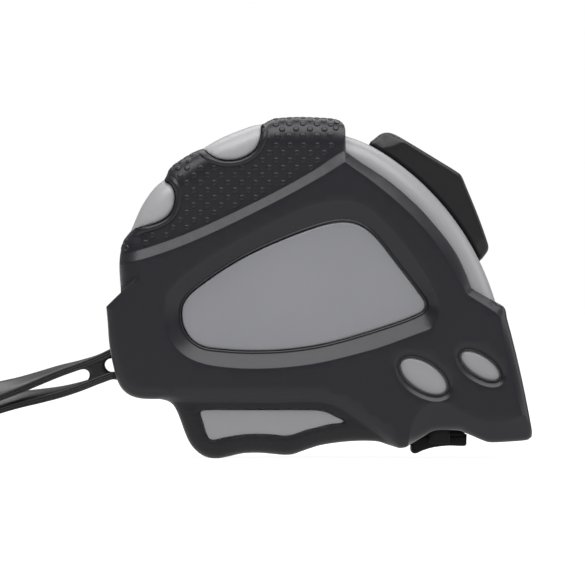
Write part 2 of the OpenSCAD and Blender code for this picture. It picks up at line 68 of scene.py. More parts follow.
# ---------------------------------------------------------------- the camera
cam_data = bpy.data.cameras.new("camera")
cam = bpy.data.objects.new("camera", cam_data)
scene.collection.objects.link(cam)
case_lo, case_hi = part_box("jacket_left")
mid_x = (case_lo.x + case_hi.x) / 2
cam.location = (mid_x - 0.0054, -2.013, 0.0331)
cam.rotation_euler = (math.radians(90), 0, 0)
cam_data.sensor_width = 36.0
cam_data.lens = 615.4
cam_data.clip_start = 0.05
cam_data.clip_end = 60.0
cam_data.dof.use_dof = False
scene.camera = cam


# ---------------------------------------------------------------- materials
def nd(t, kind, **kw):
    n = t.nodes.new(kind)
    for k, v in kw.items():
        setattr(n, k, v)
    return n


def material(name, base, rough=0.5, metal=0.0, spec=0.5, var=0.06, var_scale=60.0,
             grain=0.0, grain_scale=4000.0, grain_depth=0.00002, rvar=0.06, coat=0.0,
             stretch=None, second_scale=700.0, second_depth=0.0):
    """A Principled material whose colour, roughness and bump come from noise in the object's own frame."""
    m = bpy.data.materials.new(name)
    m.use_nodes = True
    t = m.node_tree
    t.nodes.clear()
    out = nd(t, "ShaderNodeOutputMaterial")
    bsdf = nd(t, "ShaderNodeBsdfPrincipled")
    t.links.new(bsdf.outputs[0], out.inputs[0])
    bsdf.inputs["Metallic"].default_value = metal
    bsdf.inputs["Specular IOR Level"].default_value = spec
    if coat:
        bsdf.inputs["Coat Weight"].default_value = coat
        bsdf.inputs["Coat Roughness"].default_value = 0.25
    co = nd(t, "ShaderNodeTexCoord")
    mp = nd(t, "ShaderNodeMapping")
    t.links.new(co.outputs["Object"], mp.inputs["Vector"])
    if stretch:
        mp.inputs["Scale"].default_value = stretch
    big = nd(t, "ShaderNodeTexNoise")
    big.inputs["Scale"].default_value = var_scale
    big.inputs["Detail"].default_value = 3.0
    t.links.new(mp.outputs[0], big.inputs["Vector"])
    ramp = nd(t, "ShaderNodeValToRGB")
    ramp.color_ramp.elements[0].position = 0.3
    ramp.color_ramp.elements[1].position = 0.7
    ramp.color_ramp.elements[0].color = tuple(c * (1 - var) for c in base) + (1,)
    ramp.color_ramp.elements[1].color = tuple(min(1.0, c * (1 + var)) for c in base) + (1,)
    t.links.new(big.outputs["Fac"], ramp.inputs["Fac"])
    t.links.new(ramp.outputs["Color"], bsdf.inputs["Base Color"])
    fine = nd(t, "ShaderNodeTexNoise")
    fine.inputs["Scale"].default_value = grain_scale
    fine.inputs["Detail"].default_value = 2.0
    t.links.new(mp.outputs[0], fine.inputs["Vector"])
    rr = nd(t, "ShaderNodeMapRange")
    rr.inputs["From Min"].default_value = 0.3
    rr.inputs["From Max"].default_value = 0.7
    rr.inputs["To Min"].default_value = max(0.02, rough - rvar)
    rr.inputs["To Max"].default_value = min(1.0, rough + rvar)
    t.links.new(fine.outputs["Fac"], rr.inputs["Value"])
    t.links.new(rr.outputs[0], bsdf.inputs["Roughness"])
    if grain > 0:
        bump = nd(t, "ShaderNodeBump")
        bump.inputs["Strength"].default_value = grain
        bump.inputs["Distance"].default_value = grain_depth
        t.links.new(fine.outputs["Fac"], bump.inputs["Height"])
        last = bump
        if second_depth > 0:
            vor = nd(t, "ShaderNodeTexVoronoi")
            vor.inputs["Scale"].default_value = second_scale
            t.links.new(mp.outputs[0], vor.inputs["Vector"])
            b2 = nd(t, "ShaderNodeBump")
            b2.inputs["Strength"].default_value = 1.0
            b2.inputs["Distance"].default_value = second_depth
            t.links.new(vor.outputs["Distance"], b2.inputs["Height"])
            t.links.new(bump.outputs[0], b2.inputs["Normal"])
            last = b2
        t.links.new(last.outputs[0], bsdf.inputs["Normal"])
    return m


RUBBER = material("look_jacket_rubber", (0.0078, 0.0073, 0.0102), 0.34, spec=0.3, var=0.05, rvar=0.04, grain=0.5, grain_scale=5200, grain_depth=0.000008)
ROUGH_RUBBER = material("look_handle_rubber", (0.0075, 0.007, 0.0085), 0.42, spec=0.22, var=0.08, rvar=0.05, grain=0.6, grain_scale=2600,
                        grain_depth=0.00004, second_scale=1300, second_depth=0.00005)
CASE_GREY = material("look_case_grey", (0.2, 0.2, 0.205), 0.36, spec=0.5, var=0.03, grain=0.4, grain_scale=6000, grain_depth=0.000006)
PLATE_GREY = material("look_plate_grey", (0.176, 0.177, 0.188), 0.36, spec=0.4, var=0.025, grain=0.35, grain_scale=5000, grain_depth=0.000006)
OVAL_GREY = material("look_oval_grey", (0.2, 0.198, 0.207), 0.36, spec=0.4, var=0.03, grain=0.35, grain_scale=5000, grain_depth=0.000006)
PAD_GREY = material("look_pad_grey", (0.25, 0.25, 0.255), 0.38, spec=0.5, var=0.03, grain=0.5, grain_scale=3800, grain_depth=0.00001)
BLACK = material("look_black_plastic", (0.009, 0.0085, 0.0095), 0.34, spec=0.25, var=0.06, rvar=0.05, grain=0.5, grain_scale=4200, grain_depth=0.000008)
# black plastic of the brake, made darker and less glossy than the other black plastic: painted shade for the shadow
# it sits in under the body
BRAKE_PAINTED_SHADE = material("look_brake_black_painted_shade", (0.005, 0.005, 0.0055), 0.4, spec=0.12, var=0.08, rvar=0.05, grain=0.5, grain_scale=3800, grain_depth=0.000008)
STRAP = material("look_strap_rubber", (0.007, 0.0068, 0.0078), 0.34, spec=0.3, var=0.06, rvar=0.05, grain=0.4, grain_scale=3500, grain_depth=0.000008)
STEEL = material("look_steel", (0.56, 0.565, 0.575), 0.3, metal=1.0, var=0.05, grain=0.5, grain_scale=5200, grain_depth=0.000006,
                 rvar=0.08, stretch=(0.08, 1.0, 1.0))
PLATED = material("look_plated", (0.62, 0.625, 0.63), 0.22, metal=1.0, var=0.05, grain=0.4, grain_scale=4600, grain_depth=0.000004, rvar=0.06)
SPRING = material("look_spring_steel", (0.30, 0.33, 0.38), 0.3, metal=1.0, var=0.12, grain=0.4, grain_scale=4600, grain_depth=0.000004)
REEL = material("look_reel_plastic", (0.62, 0.58, 0.48), 0.45, var=0.04, grain=0.4, grain_scale=4200, grain_depth=0.00001)
DISC = material("look_disc_plastic", (0.72, 0.72, 0.69), 0.4, var=0.04, grain=0.4, grain_scale=4200, grain_depth=0.00001)
PAD_RUBBER = material("look_stop_rubber", (0.03, 0.028, 0.026), 0.6, var=0.1, grain=0.6, grain_scale=3200, grain_depth=0.00002)
BLADE = material("look_blade_yellow", (0.72, 0.43, 0.022), 0.3, spec=0.5, var=0.03, grain=0.3, grain_scale=4200, grain_depth=0.000004, coat=0.4)
INK = material("look_blade_ink", (0.012, 0.012, 0.013), 0.35, var=0.1, grain=0.2, grain_scale=4200, grain_depth=0.000002)
INK_RED = material("look_blade_ink_red", (0.45, 0.02, 0.015), 0.35, var=0.1, grain=0.2, grain_scale=4200, grain_depth=0.000002)


# ---------------------------------------------------------------- curves
def _run(P, step):
    """Points along a smooth curve through P."""
    P = np.asarray(P, float)
    if len(P) == 2:
        n = max(1, int(round(np.linalg.norm(P[1] - P[0]) / step)))
        return [P[0] + (P[1] - P[0]) * i / n for i in range(n + 1)]
    E = np.vstack([2 * P[0] - P[1], P, 2 * P[-1] - P[-2]])
    out = []
    for i in range(1, len(E) - 2):
        p0, p1, p2, p3 = E[i - 1], E[i], E[i + 1], E[i + 2]
        k = [0.0]
        for a, b in ((p0, p1), (p1, p2), (p2, p3)):
            k.append(k[-1] + max(np.linalg.norm(b - a), 1e-6) ** 0.5)
        n = max(1, int(round(np.linalg.norm(p2 - p1) / step)))
        for j in range(n):
            u = k[1] + (k[2] - k[1]) * j / n
            a1 = (k[1] - u) / (k[1] - k[0]) * p0 + (u - k[0]) / (k[1] - k[0]) * p1
            a2 = (k[2] - u) / (k[2] - k[1]) * p1 + (u - k[1]) / (k[2] - k[1]) * p2
            a3 = (k[3] - u) / (k[3] - k[2]) * p2 + (u - k[2]) / (k[3] - k[2]) * p3
            b1 = (k[2] - u) / (k[2] - k[0]) * a1 + (u - k[0]) / (k[2] - k[0]) * a2
            b2 = (k[3] - u) / (k[3] - k[1]) * a2 + (u - k[1]) / (k[3] - k[1]) * a3
            out.append((k[2] - u) / (k[2] - k[1]) * b1 + (u - k[1]) / (k[2] - k[1]) * b2)
    out.append(P[-1])
    return out


def curve(pts, step=0.7, closed=False):
    """A smooth curve through pts. A third value of 1 makes that point a corner."""
    pts = [tuple(p) for p in pts]
    corner = [len(p) > 2 and p[2] == 1 for p in pts]
    xy = [np.array(p[:2], float) for p in pts]
    n = len(xy)
    if closed:
        if not any(corner):
            P = [xy[i % n] for i in range(-3, n + 4)]
            dense = _run(P, step)
            # cut out exactly one turn
            start = min(range(len(dense)), key=lambda i: np.linalg.norm(dense[i] - xy[0]) + (0 if i < len(dense) * 0.6 else 9))
            rest = dense[start + 3:]
            stop = min(range(len(rest)), key=lambda i: np.linalg.norm(rest[i] - xy[0]))
            return np.array(dense[start:start + 3] + rest[:stop])
        k = corner.index(True)
        xy, corner = xy[k:] + xy[:k + 1], corner[k:] + corner[:k + 1]
    ends = [0] + [i for i in range(1, len(xy) - 1) if corner[i]] + [len(xy) - 1]
    out = []
    for a, b in zip(ends[:-1], ends[1:]):
        out += _run(xy[a:b + 1], step)[:-1]
    if not closed:
        out.append(xy[-1])
    return np.array(out)


def ellipse(cx, cz, a, b, tilt, n=72):
    t = np.linspace(0, 2 * math.pi, n, endpoint=False)
    u, v = a * np.cos(t), b * np.sin(t)
    k = math.radians(tilt)
    return np.stack([cx + u * math.cos(k) - v * math.sin(k), cz + u * math.sin(k) + v * math.cos(k)], 1)


def near(P, L, closed=False, R=None):
    """Distance from each point of P to the polyline L, and R interpolated where it is nearest."""
    P = np.asarray(P, float)
    A = L if closed else L[:-1]
    B = np.roll(L, -1, 0) if closed else L[1:]
    D = B - A
    L2 = np.maximum((D ** 2).sum(1), 1e-12)
    best = np.empty(len(P))
    rr = np.empty(len(P)) if R is not None else None
    if R is not None:
        RB = np.roll(R, -1) if closed else R[1:]
        RA = R if closed else R[:-1]
    for s in range(0, len(P), 4000):
        p = P[s:s + 4000]
        t = ((p[:, None, :] - A[None]) * D[None]).sum(2) / L2[None]
        t = np.clip(t, 0, 1)
        q = A[None] + t[..., None] * D[None]
        d = np.sqrt(((p[:, None, :] - q) ** 2).sum(2))
        i = d.argmin(1)
        k = np.arange(len(p))
        best[s:s + 4000] = d[k, i]
        if R is not None:
            rr[s:s + 4000] = RA[i] + t[k, i] * (RB[i] - RA[i])
    return best if R is None else (best, rr)


def inside(P, L):
    P = np.asarray(P, float)
    res = np.zeros(len(P), bool)
    x, z = P[:, 0], P[:, 1]
    a = L
    b = np.roll(L, -1, 0)
    for (x0, z0), (x1, z1) in zip(a, b):
        if z0 == z1:
            continue
        c = (z0 > z) != (z1 > z)
        res ^= c & (x < (x1 - x0) * (z - z0) / (z1 - z0) + x0)
    return res


def offset(L, d, closed=True):
    """L moved sideways by d (to its left), in runs where that is a clean parallel."""
    n = len(L)
    if closed:
        T = np.roll(L, -1, 0) - np.roll(L, 1, 0)
    else:
        T = np.gradient(L, axis=0)
    T = T / np.maximum(np.linalg.norm(T, axis=1), 1e-9)[:, None]
    N = np.stack([-T[:, 1], T[:, 0]], 1)
    Q = L + N * d
    ok = np.abs(near(Q, L, closed) - abs(d)) < 0.06 * abs(d) + 0.004
    runs, cur = [], []
    for i in range(n):
        if ok[i]:
            cur.append(Q[i])
        else:
            if len(cur) > 1:
                runs.append(np.array(cur))
            cur = []
    if len(cur) > 1:
        if closed and ok.all():
            cur.append(Q[0])
        runs.append(np.array(cur))
    return runs


def ramp(t, e):
    """0 below 0, 1 above 1, straight between, with both corners rounded over e."""
    t = np.asarray(t, float)
    r = np.clip(t, 0, 1)
    lo = np.abs(t) < e
    r = np.where(lo, (t + e) ** 2 / (4 * e), r)
    hi = np.abs(t - 1) < e
    return np.where(hi, 1 - (1 + e - t) ** 2 / (4 * e), r)


def band(P, inner, outer, w, e):
    """1 inside the closed line inner, 0 outside the closed line outer, and a straight slope between them."""
    di, do = near(P, inner, True), near(P, outer, True)
    ii, io = inside(P, inner), inside(P, outer)
    t = np.where(ii, 1 + di / w, np.where(io, do / np.maximum(di + do, 1e-9), -do / w))
    return ramp(t, e)


def rounding(P, L, R, closed=False):
    """How far an edge rounding of radius R along L lowers the face at P."""
    R = np.broadcast_to(np.asarray(R, float), (len(L),)).copy()
    d, r = near(P, L, closed, R)
    k = np.clip(r - np.minimum(d, r), 0, None)
    return r - np.sqrt(np.maximum(r * r - k * k, 0))


# ---------------------------------------------------------------- meshes
def piece(name, V, F, mats, tags=None, body="case", sharp=38.0, replaces=(), smooth=True):
    """A mesh object from points in mm (y from the middle plane) that rides on a body."""
    V = np.asarray(V, float)
    co = np.stack([V[:, 0] * MM, (V[:, 1] + YM) * MM, V[:, 2] * MM], 1)
    me = bpy.data.meshes.new(name)
    me.from_pydata([tuple(c) for c in co], [], [tuple(int(i) for i in f) for f in F])
    mats = mats if isinstance(mats, (list, tuple)) else [mats]
    for m in mats:
        me.materials.append(m)
    if tags is not None:
        me.polygons.foreach_set("material_index", np.asarray(tags, np.int32))
    bm = bmesh.new()
    bm.from_mesh(me)
    bmesh.ops.remove_doubles(bm, verts=bm.verts, dist=2e-7)
    bmesh.ops.dissolve_degenerate(bm, dist=1e-7, edges=bm.edges)
    bmesh.ops.recalc_face_normals(bm, faces=bm.faces)
    bm.to_mesh(me)
    bm.free()
    if smooth:
        me.polygons.foreach_set("use_smooth", np.ones(len(me.polygons), bool))
        me.set_sharp_from_angle(angle=math.radians(sharp))
    ob = bpy.data.objects.new(name, me)
    scene.collection.objects.link(ob)
    if body:
        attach(ob, body)
    if replaces:
        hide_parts(*replaces)
    return ob


def weighted(ob, weight=50):
    m = ob.modifiers.new("normals", "WEIGHTED_NORMAL")
    m.keep_sharp = True
    m.weight = weight
    return ob


def triangulate(outline, holes, creases, grid, gap=0.32):
    """A Delaunay mesh of the region inside outline and outside holes, with every crease as an edge. Creases are (points, closed)."""
    pts, edges, index = [], [], {}

    def vid(p):
        k = (round(float(p[0]), 4), round(float(p[1]), 4))
        if k not in index:
            index[k] = len(pts)
            pts.append(Vector(k))
        return index[k]

    def add(L, closed):
        ids = [vid(p) for p in L]
        pairs = list(zip(ids[:-1], ids[1:])) + ([(ids[-1], ids[0])] if closed else [])
        edges.extend((a, b) for a, b in pairs if a != b)

    add(outline, True)
    for hole in holes:
        add(hole, True)
    lines = [(outline, True)] + [(x, True) for x in holes]
    for L, closed in creases:
        # only what lies in the region matters
        keep = inside(L, outline) | (near(L, outline, True) < 0.02)
        if keep.sum() < 2:
            continue
        if keep.all():
            add(L, closed)
        else:
            LL = np.vstack([L, L[:1]]) if closed else L
            kk = np.append(keep, keep[0]) if closed else keep
            for i in range(len(LL) - 1):
                if kk[i] or kk[i + 1]:
                    add(LL[i:i + 2], False)
        lines.append((L, closed))
    if grid:
        lo, hi = outline.min(0), outline.max(0)
        g = []
        row, z = 0, lo[1]
        while z < hi[1]:
            x = lo[0] + (grid / 2 if row % 2 else 0)
            while x < hi[0]:
                g.append((x, z))
                x += grid
            z += grid * 0.866
            row += 1
        g = np.array(g)
        g = g[inside(g, outline)]
        for hole in holes:
            g = g[~inside(g, hole)]
        ok = np.ones(len(g), bool)
        for L, closed in lines:
            ok &= near(g, L, closed) > gap
        for p in g[ok]:
            vid(p)
    ov, oe, of, _, _, _ = delaunay_2d_cdt(pts, edges, [], 0, 1e-5)
    V = np.array([(v[0], v[1]) for v in ov])
    F = np.array([f for f in of if len(f) == 3], int)
    c = V[F].mean(1)
    keep = inside(c, outline)
    for hole in holes:
        keep &= ~inside(c, hole)
    F = F[keep]
    # counter-clockwise in (x, z)
    a, b, c3 = V[F[:, 0]], V[F[:, 1]], V[F[:, 2]]
    area = (b[:, 0] - a[:, 0]) * (c3[:, 1] - a[:, 1]) - (b[:, 1] - a[:, 1]) * (c3[:, 0] - a[:, 0])
    F[area < 0] = F[area < 0][:, ::-1]
    F = F[np.abs(area) > 1e-7]
    used = np.unique(F)
    remap = -np.ones(len(V), int)
    remap[used] = np.arange(len(used))
    return V[used], remap[F]


def loops_of(F):
    """The boundary loops of a triangle mesh, each a list of vertex numbers."""
    count = {}
    for f in F:
        for a, b in ((f[0], f[1]), (f[1], f[2]), (f[2], f[0])):
            count[(a, b)] = count.get((a, b), 0) + 1
    nxt = {}
    for (a, b) in count:
        if (b, a) not in count:
            nxt.setdefault(a, []).append(b)
    loops = []
    while nxt:
        a = next(iter(nxt))
        loop = [a]
        while True:
            b = nxt[loop[-1]].pop()
            if not nxt[loop[-1]]:
                del nxt[loop[-1]]
            if b == loop[0]:
                break
            loop.append(b)
        loops.append(loop)
    return loops


def shell(outline, wraps, holes, creases, depth, back, side=-1, grid=1.6, inset=1.3, seam=0.0,
          groove=0.2, rows=(0.62, 0.3), gap=0.32, tag=None):
    """One closed half shell. The face is the height field depth(P) over the region. Along the lines in
    wraps the surface runs on across the width to y = seam; elsewhere it ends in a wall down to back.
    side is -1 for the -Y half. Returns points, faces and a tag for each face."""
    V2, F = triangulate(outline, holes, creases, grid, gap)
    D = depth(V2)
    n = len(V2)
    pts = [np.array([V2[i, 0], D[i], V2[i, 1]]) for i in range(n)]
    faces = [tuple(f) for f in F]
    loops = loops_of(F)
    wrap_lines = [w for w in wraps]

    def wrapped(mid):
        return any(near(mid[None], w)[0] < 0.03 for w in wrap_lines)

    # back copies
    bpos = V2.copy()
    outer = max(loops, key=lambda L: abs(sum(V2[a, 0] * V2[b, 1] - V2[b, 0] * V2[a, 1] for a, b in zip(L, L[1:] + L[:1]))))
    wrapvert = set()
    flags = {}
    for a, b in zip(outer, outer[1:] + outer[:1]):
        w = bool(wrap_lines) and wrapped((V2[a] + V2[b]) / 2)
        flags[(a, b)] = w
        if w:
            wrapvert.add(a)
            wrapvert.add(b)
    if wrap_lines:
        L = np.array([V2[i] for i in outer])
        d = np.min([near(V2, w) for w in wrap_lines], 0)
        m = d < 2 * inset
        # push towards the inside along the distance gradient
        eps = 0.05
        g = np.zeros_like(V2)
        for k in range(2):
            e = np.zeros(2)
            e[k] = eps
            dp = np.min([near(V2[m] + e, w) for w in wrap_lines], 0)
            dm = np.min([near(V2[m] - e, w) for w in wrap_lines], 0)
            g[m, k] = (dp - dm) / (2 * eps)
        idx = {v: i for i, v in enumerate(outer)}
        for v in wrapvert:
            i = idx[v]
            p, q = V2[outer[i - 1]], V2[outer[(i + 1) % len(outer)]]
            t = (q - p) / max(np.linalg.norm(q - p), 1e-9)
            g[v] = (-t[1], t[0])        # left of a counter-clockwise loop is inside
        ln = np.maximum(np.linalg.norm(g, axis=1), 1e-9)
        push = np.where(m, inset * (1 - d / (2 * inset)), 0)
        bpos = V2 + g / ln[:, None] * push[:, None]
        bad = (push > 0.01) & ~inside(bpos, L)
        bpos[bad] = V2[bad]
        # where a wrapped run meets a wall, the back slides along the wall
        N = len(outer)
        for i in range(N):
            if flags[(outer[i - 1], outer[i])] == flags[(outer[i], outer[(i + 1) % N])]:
                continue
            way = 1 if not flags[(outer[i], outer[(i + 1) % N])] else -1
            line, k = [outer[i]], i
            while True:
                a_, b_ = outer[k % N], outer[(k + way) % N]
                if flags[(a_, b_) if way > 0 else (b_, a_)]:
                    break
                line.append(b_)
                k += way
                if len(line) > 60:
                    break
            q = V2[line]
            s_ = np.concatenate([[0], np.cumsum(np.linalg.norm(np.diff(q, axis=0), axis=1))])
            for v, sv_ in zip(line, s_):
                if sv_ >= 2 * inset or sv_ > 0.5 * s_[-1]:
                    if sv_ >= 2 * inset:
                        bpos[v] = V2[v]
                    continue
                t_ = min(sv_ + inset * (1 - sv_ / (2 * inset)), 0.48 * s_[-1])
                bpos[v] = (np.interp(t_, s_, q[:, 0]), np.interp(t_, s_, q[:, 1]))
    boff = len(pts)
    pts += [np.array([bpos[i, 0], back, bpos[i, 1]]) for i in range(n)]
    faces += [(f[0] + boff, f[2] + boff, f[1] + boff) for f in F]
    # strips across the width
    cols = {}
    idx = {v: i for i, v in enumerate(outer)}
    for v in wrapvert:
        i = idx[v]
        p, q = V2[outer[i - 1]], V2[outer[(i + 1) % len(outer)]]
        t = (q - p) / max(np.linalg.norm(q - p), 1e-9)
        nin = np.array([-t[1], t[0]])
        col = [v]
        base = len(pts)
        for r in rows:
            pts.append(np.array([V2[v, 0], seam + (D[v] - seam) * r, V2[v, 1]]))
        pts.append(np.array([V2[v, 0], seam + 0.28, V2[v, 1]]))
        a = V2[v] + nin * groove
        pts.append(np.array([a[0], seam, a[1]]))
        b = bpos[v]
        pts.append(np.array([b[0], seam, b[1]]))
        col += list(range(base, len(pts)))
        col.append(v + boff)
        cols[v] = col
    for L in loops:
        for a, b in zip(L, L[1:] + L[:1]):
            if L is outer and flags.get((a, b)):
                ca, cb = cols[a], cols[b]
                for k in range(len(ca) - 1):
                    faces.append((ca[k], ca[k + 1], cb[k + 1], cb[k]))
            else:
                faces.append((a, a + boff, b + boff, b))
    if wrap_lines:
        for i, v in enumerate(outer):
            before = flags[(outer[i - 1], v)]
            after = flags[(v, outer[(i + 1) % len(outer)])]
            if before != after:
                faces.append(tuple(cols[v]) if before else tuple(reversed(cols[v])))
    P = np.array(pts)
    P[:, 1] *= side
    if side > 0:
        faces = [tuple(reversed(f)) for f in faces]
    tags = None
    if tag:
        c = np.array([P[list(f)].mean(0) for f in faces])
        tags = tag(c)
    return P, faces, tags


def offset_run(L, d, far=None):
    """An open line moved to its right by d (a number or one per point), in clean runs."""
    d = np.broadcast_to(np.asarray(d, float), (len(L),))
    T = np.gradient(L, axis=0)
    T = T / np.maximum(np.linalg.norm(T, axis=1), 1e-9)[:, None]
    Q = L + np.stack([T[:, 1], -T[:, 0]], 1) * d[:, None]
    ok = np.abs(near(Q, L if far is None else far) - np.abs(d)) < 0.08 * np.abs(d) + 0.01
    runs, cur = [], []
    for i in range(len(L)):
        if ok[i]:
            cur.append(Q[i])
        elif cur:
            runs.append(np.array(cur))
            cur = []
    if cur:
        runs.append(np.array(cur))
    return [r for r in runs if len(r) > 1]


def along(pts, R):
    """A smooth open curve through pts, and R (one per point) carried along it."""
    C = curve(pts)
    ctrl = np.array([p[:2] for p in pts], float)
    return C, near(C, ctrl, False, np.asarray(R, float))[1]


def both(L, d):
    """Creases a distance d either side of an open line, and the line itself."""
    return [(L, False)] + [(r, False) for s in (d, -d) for r in offset_run(L, s)]


def turn(L):
    """Twice the signed area: negative for a clockwise line."""
    return np.sum(L[:, 0] * np.roll(L[:, 1], -1) - np.roll(L[:, 0], -1) * L[:, 1])


def ringlines(L, *ds):
    """Parallels outside a closed line."""
    L = L[::-1] if turn(L) > 0 else L
    return [(r, False) for d in ds for r in offset(L, d, True)]


def grown(L, d):
    """The closed line moved outward by d."""
    T = np.roll(L, -1, 0) - np.roll(L, 1, 0)
    T = T / np.linalg.norm(T, axis=1)[:, None]
    return L + np.stack([T[:, 1], -T[:, 0]], 1) * (d if turn(L) > 0 else -d)


STEPS = (0.034, 0.134, 0.293, 0.5, 0.741, 1.0)


# ---------------------------------------------------------------- outlines, in mm
rear_step = curve([(-42.5, 30.25), (-41.1, 31.65), (-39.6, 33.1)], 0.5)
rear_up, R_rear = along([(-39.6, 33.1), (-39.85, 36.0), (-39.95, 38.6), (-39.8, 40.8), (-39.35, 42.8), (-38.7, 44.1), (-37.7, 45.3)],
                        [3.8, 4.3, 4.5, 4.5, 4.5, 4.5, 4.4])
rear_corner = np.vstack([rear_step[:-1], rear_up])
crest = curve([(-43.4, 29.35), (-42.5, 30.25), (-41.1, 31.65), (-39.6, 33.1), (-37.7, 34.75), (-35.5, 36.2), (-34.0, 37.0)], 0.4)
crest_in = crest[(near(crest, rear_step) > 0.12) & (crest[:, 0] > -39.6)]
pads_gap, R_gap = along([(-31.0, 55.6, 1), (-30.6, 56.3), (-30.2, 57.3), (-29.5, 58.2), (-28.3, 59.15), (-26.0, 60.6), (-24.4, 61.45), (-23.3, 61.8)],
                        [3.6, 3.8, 4.2, 4.5, 4.5, 4.5, 4.3, 4.0])
top_line, R_top = along([(-11.5, 66.7, 1), (-11.0, 66.85), (-10.3, 67.3), (-9.4, 67.7), (-6.7, 68.0), (-3.9, 68.1), (-0.7, 68.0), (2.6, 67.75), (4.1, 67.3), (4.9, 66.5), (5.15, 65.4)],
                        [3.8, 4.2, 4.8, 5.4, 5.8, 5.8, 5.8, 5.2, 3.9, 2.3, 1.2])
B_top = np.minimum(R_top, 4.0)       # the same rounding, measured across the width
# the long top edge carried on past its front corner, so the rounding there has no fold
top_ext, R_ext = along([(-6.7, 68.0), (-3.9, 68.1), (-0.7, 68.0), (2.6, 67.75), (4.8, 67.3), (7.6, 66.5)], [5.8, 5.8, 5.8, 5.5, 5.3, 5.1])
peak_line = curve([(5.15, 65.4), (5.2, 61.2)], 0.5)
front_line = curve([(5.2, 61.2), (8.1, 59.15), (10.6, 57.5), (13.1, 55.8), (15.6, 53.85), (18.1, 51.65), (20.6, 49.2), (23.1, 46.35), (25.1, 43.9), (27.0, 41.2), (28.7, 37.9),
                    (30.25, 33.95, 1), (32.1, 32.85), (35.3, 31.1)])
nose_line, R_nose = along([(35.3, 31.1), (36.6, 30.35), (37.0, 29.8), (37.35, 28.0), (38.2, 24.8), (39.1, 21.2), (40.3, 16.0), (41.3, 11.2), (42.05, 7.3), (42.4, 5.2), (42.3, 4.3),
                           (41.6, 3.75), (40.5, 3.55), (37.0, 3.3), (35.0, 3.2), (33.6, 3.25), (31.7, 3.95), (30.2, 4.6), (29.0, 5.1), (28.2, 5.5), (25.6, 5.65), (22.9, 5.5),
                           (20.9, 4.5), (18.5, 3.05), (17.2, 2.25), (15.9, 2.05)],
                          [0.8, 0.8, 0.8, 0.8, 0.8, 0.8, 0.8, 0.8, 0.8, 0.9, 1.0, 1.0, 1.0, 1.0, 1.0, 1.0, 1.0, 1.2, 1.4, 1.5, 1.5, 1.5, 1.4, 1.2, 1.2, 1.5])
handle_line, R_handle = along([(15.9, 2.05), (13.7, 2.7), (11.7, 3.35), (9.0, 3.5), (6.1, 3.4), (3.1, 3.1), (0.1, 2.6), (-1.9, 2.0), (-3.9, 1.3), (-5.4, 0.8), (-7.0, 0.7), (-8.9, 0.85),
                               (-11.9, 1.1), (-15.3, 1.0), (-17.9, 0.45), (-20.3, -0.02), (-22.0, 0.1), (-23.5, 0.7), (-24.8, 1.7), (-25.9, 3.1), (-26.8, 5.0), (-27.7, 7.5),
                               (-28.5, 9.5), (-29.3, 10.8), (-30.4, 11.5), (-31.9, 11.85)],
                              [1.6, 2.0, 2.3, 2.5, 2.6, 2.6, 2.6, 2.6, 2.6, 2.6, 2.6, 2.6, 2.6, 2.6, 2.6, 2.6, 2.6, 2.6, 2.6, 2.6, 2.6, 2.4, 2.2, 2.0, 2.0, 2.0])
back_line, R_back = along([(-31.9, 11.85), (-33.9, 11.85), (-35.9, 12.0), (-37.9, 12.65), (-39.4, 13.9), (-40.4, 15.8), (-41.1, 18.4), (-41.9, 22.6), (-42.25, 27.2), (-42.5, 30.25)],
                          [2.0, 2.0, 2.0, 2.0, 2.0, 1.9, 1.8, 1.7, 1.4, 0.9])
pad1_in = curve([(-37.7, 45.3), (-36.8, 45.65), (-35.9, 45.9), (-33.9, 46.4), (-31.9, 47.1), (-30.3, 48.1), (-29.25, 49.5), (-28.75, 51.2), (-28.75, 53.0), (-29.3, 54.4), (-30.2, 55.2), (-31.0, 55.6)], 0.5)
pad2_in = curve([(-23.3, 61.8), (-22.5, 60.9), (-21.3, 60.05), (-19.9, 59.5), (-17.9, 59.3), (-15.9, 59.6), (-14.1, 60.4), (-12.7, 61.6), (-11.9, 63.1), (-11.5, 64.9), (-11.5, 66.7)], 0.5)
pad1_out, R_p1 = along([(-37.7, 45.3), (-36.7, 47.7), (-35.6, 50.1), (-33.9, 52.8), (-32.3, 54.6), (-31.0, 55.6)], [4.2, 4.6, 4.8, 4.8, 4.6, 4.2])
pad2_out, R_p2 = along([(-23.3, 61.8), (-21.3, 63.05), (-18.95, 64.25), (-15.75, 65.55), (-13.1, 66.45), (-11.5, 66.7)], [4.0, 4.6, 4.8, 4.8, 4.6, 4.2])
jacket_loop = np.vstack([c[:-1] for c in (rear_corner, pad1_in, pads_gap, pad2_in, top_line, peak_line, front_line, nose_line, handle_line, back_line)])
jacket_wraps = [(np.vstack([nose_line[:-1], handle_line[:-1], back_line[:-1], rear_corner]),
                 np.concatenate([R_nose[:-1], R_handle[:-1], R_back[:-1], np.full(len(rear_step) - 1, 0.3), R_rear])),
                (pads_gap, R_gap), (top_line, R_top), (peak_line, np.full(len(peak_line), 0.9))]

low_line = np.vstack([nose_line[:-1], handle_line[:-1], back_line[:-1], rear_step])
R_low = np.concatenate([R_nose[:-1], R_handle[:-1], R_back[:-1], np.full(len(rear_step), 0.3)])
rear_long = np.vstack([[(-39.4, 28.0)], rear_up])
R_long = np.concatenate([[3.8], R_rear])
P_crest = np.vstack([crest, [(-34.0, 60), (-60, 60), (-60, 29.35)]])

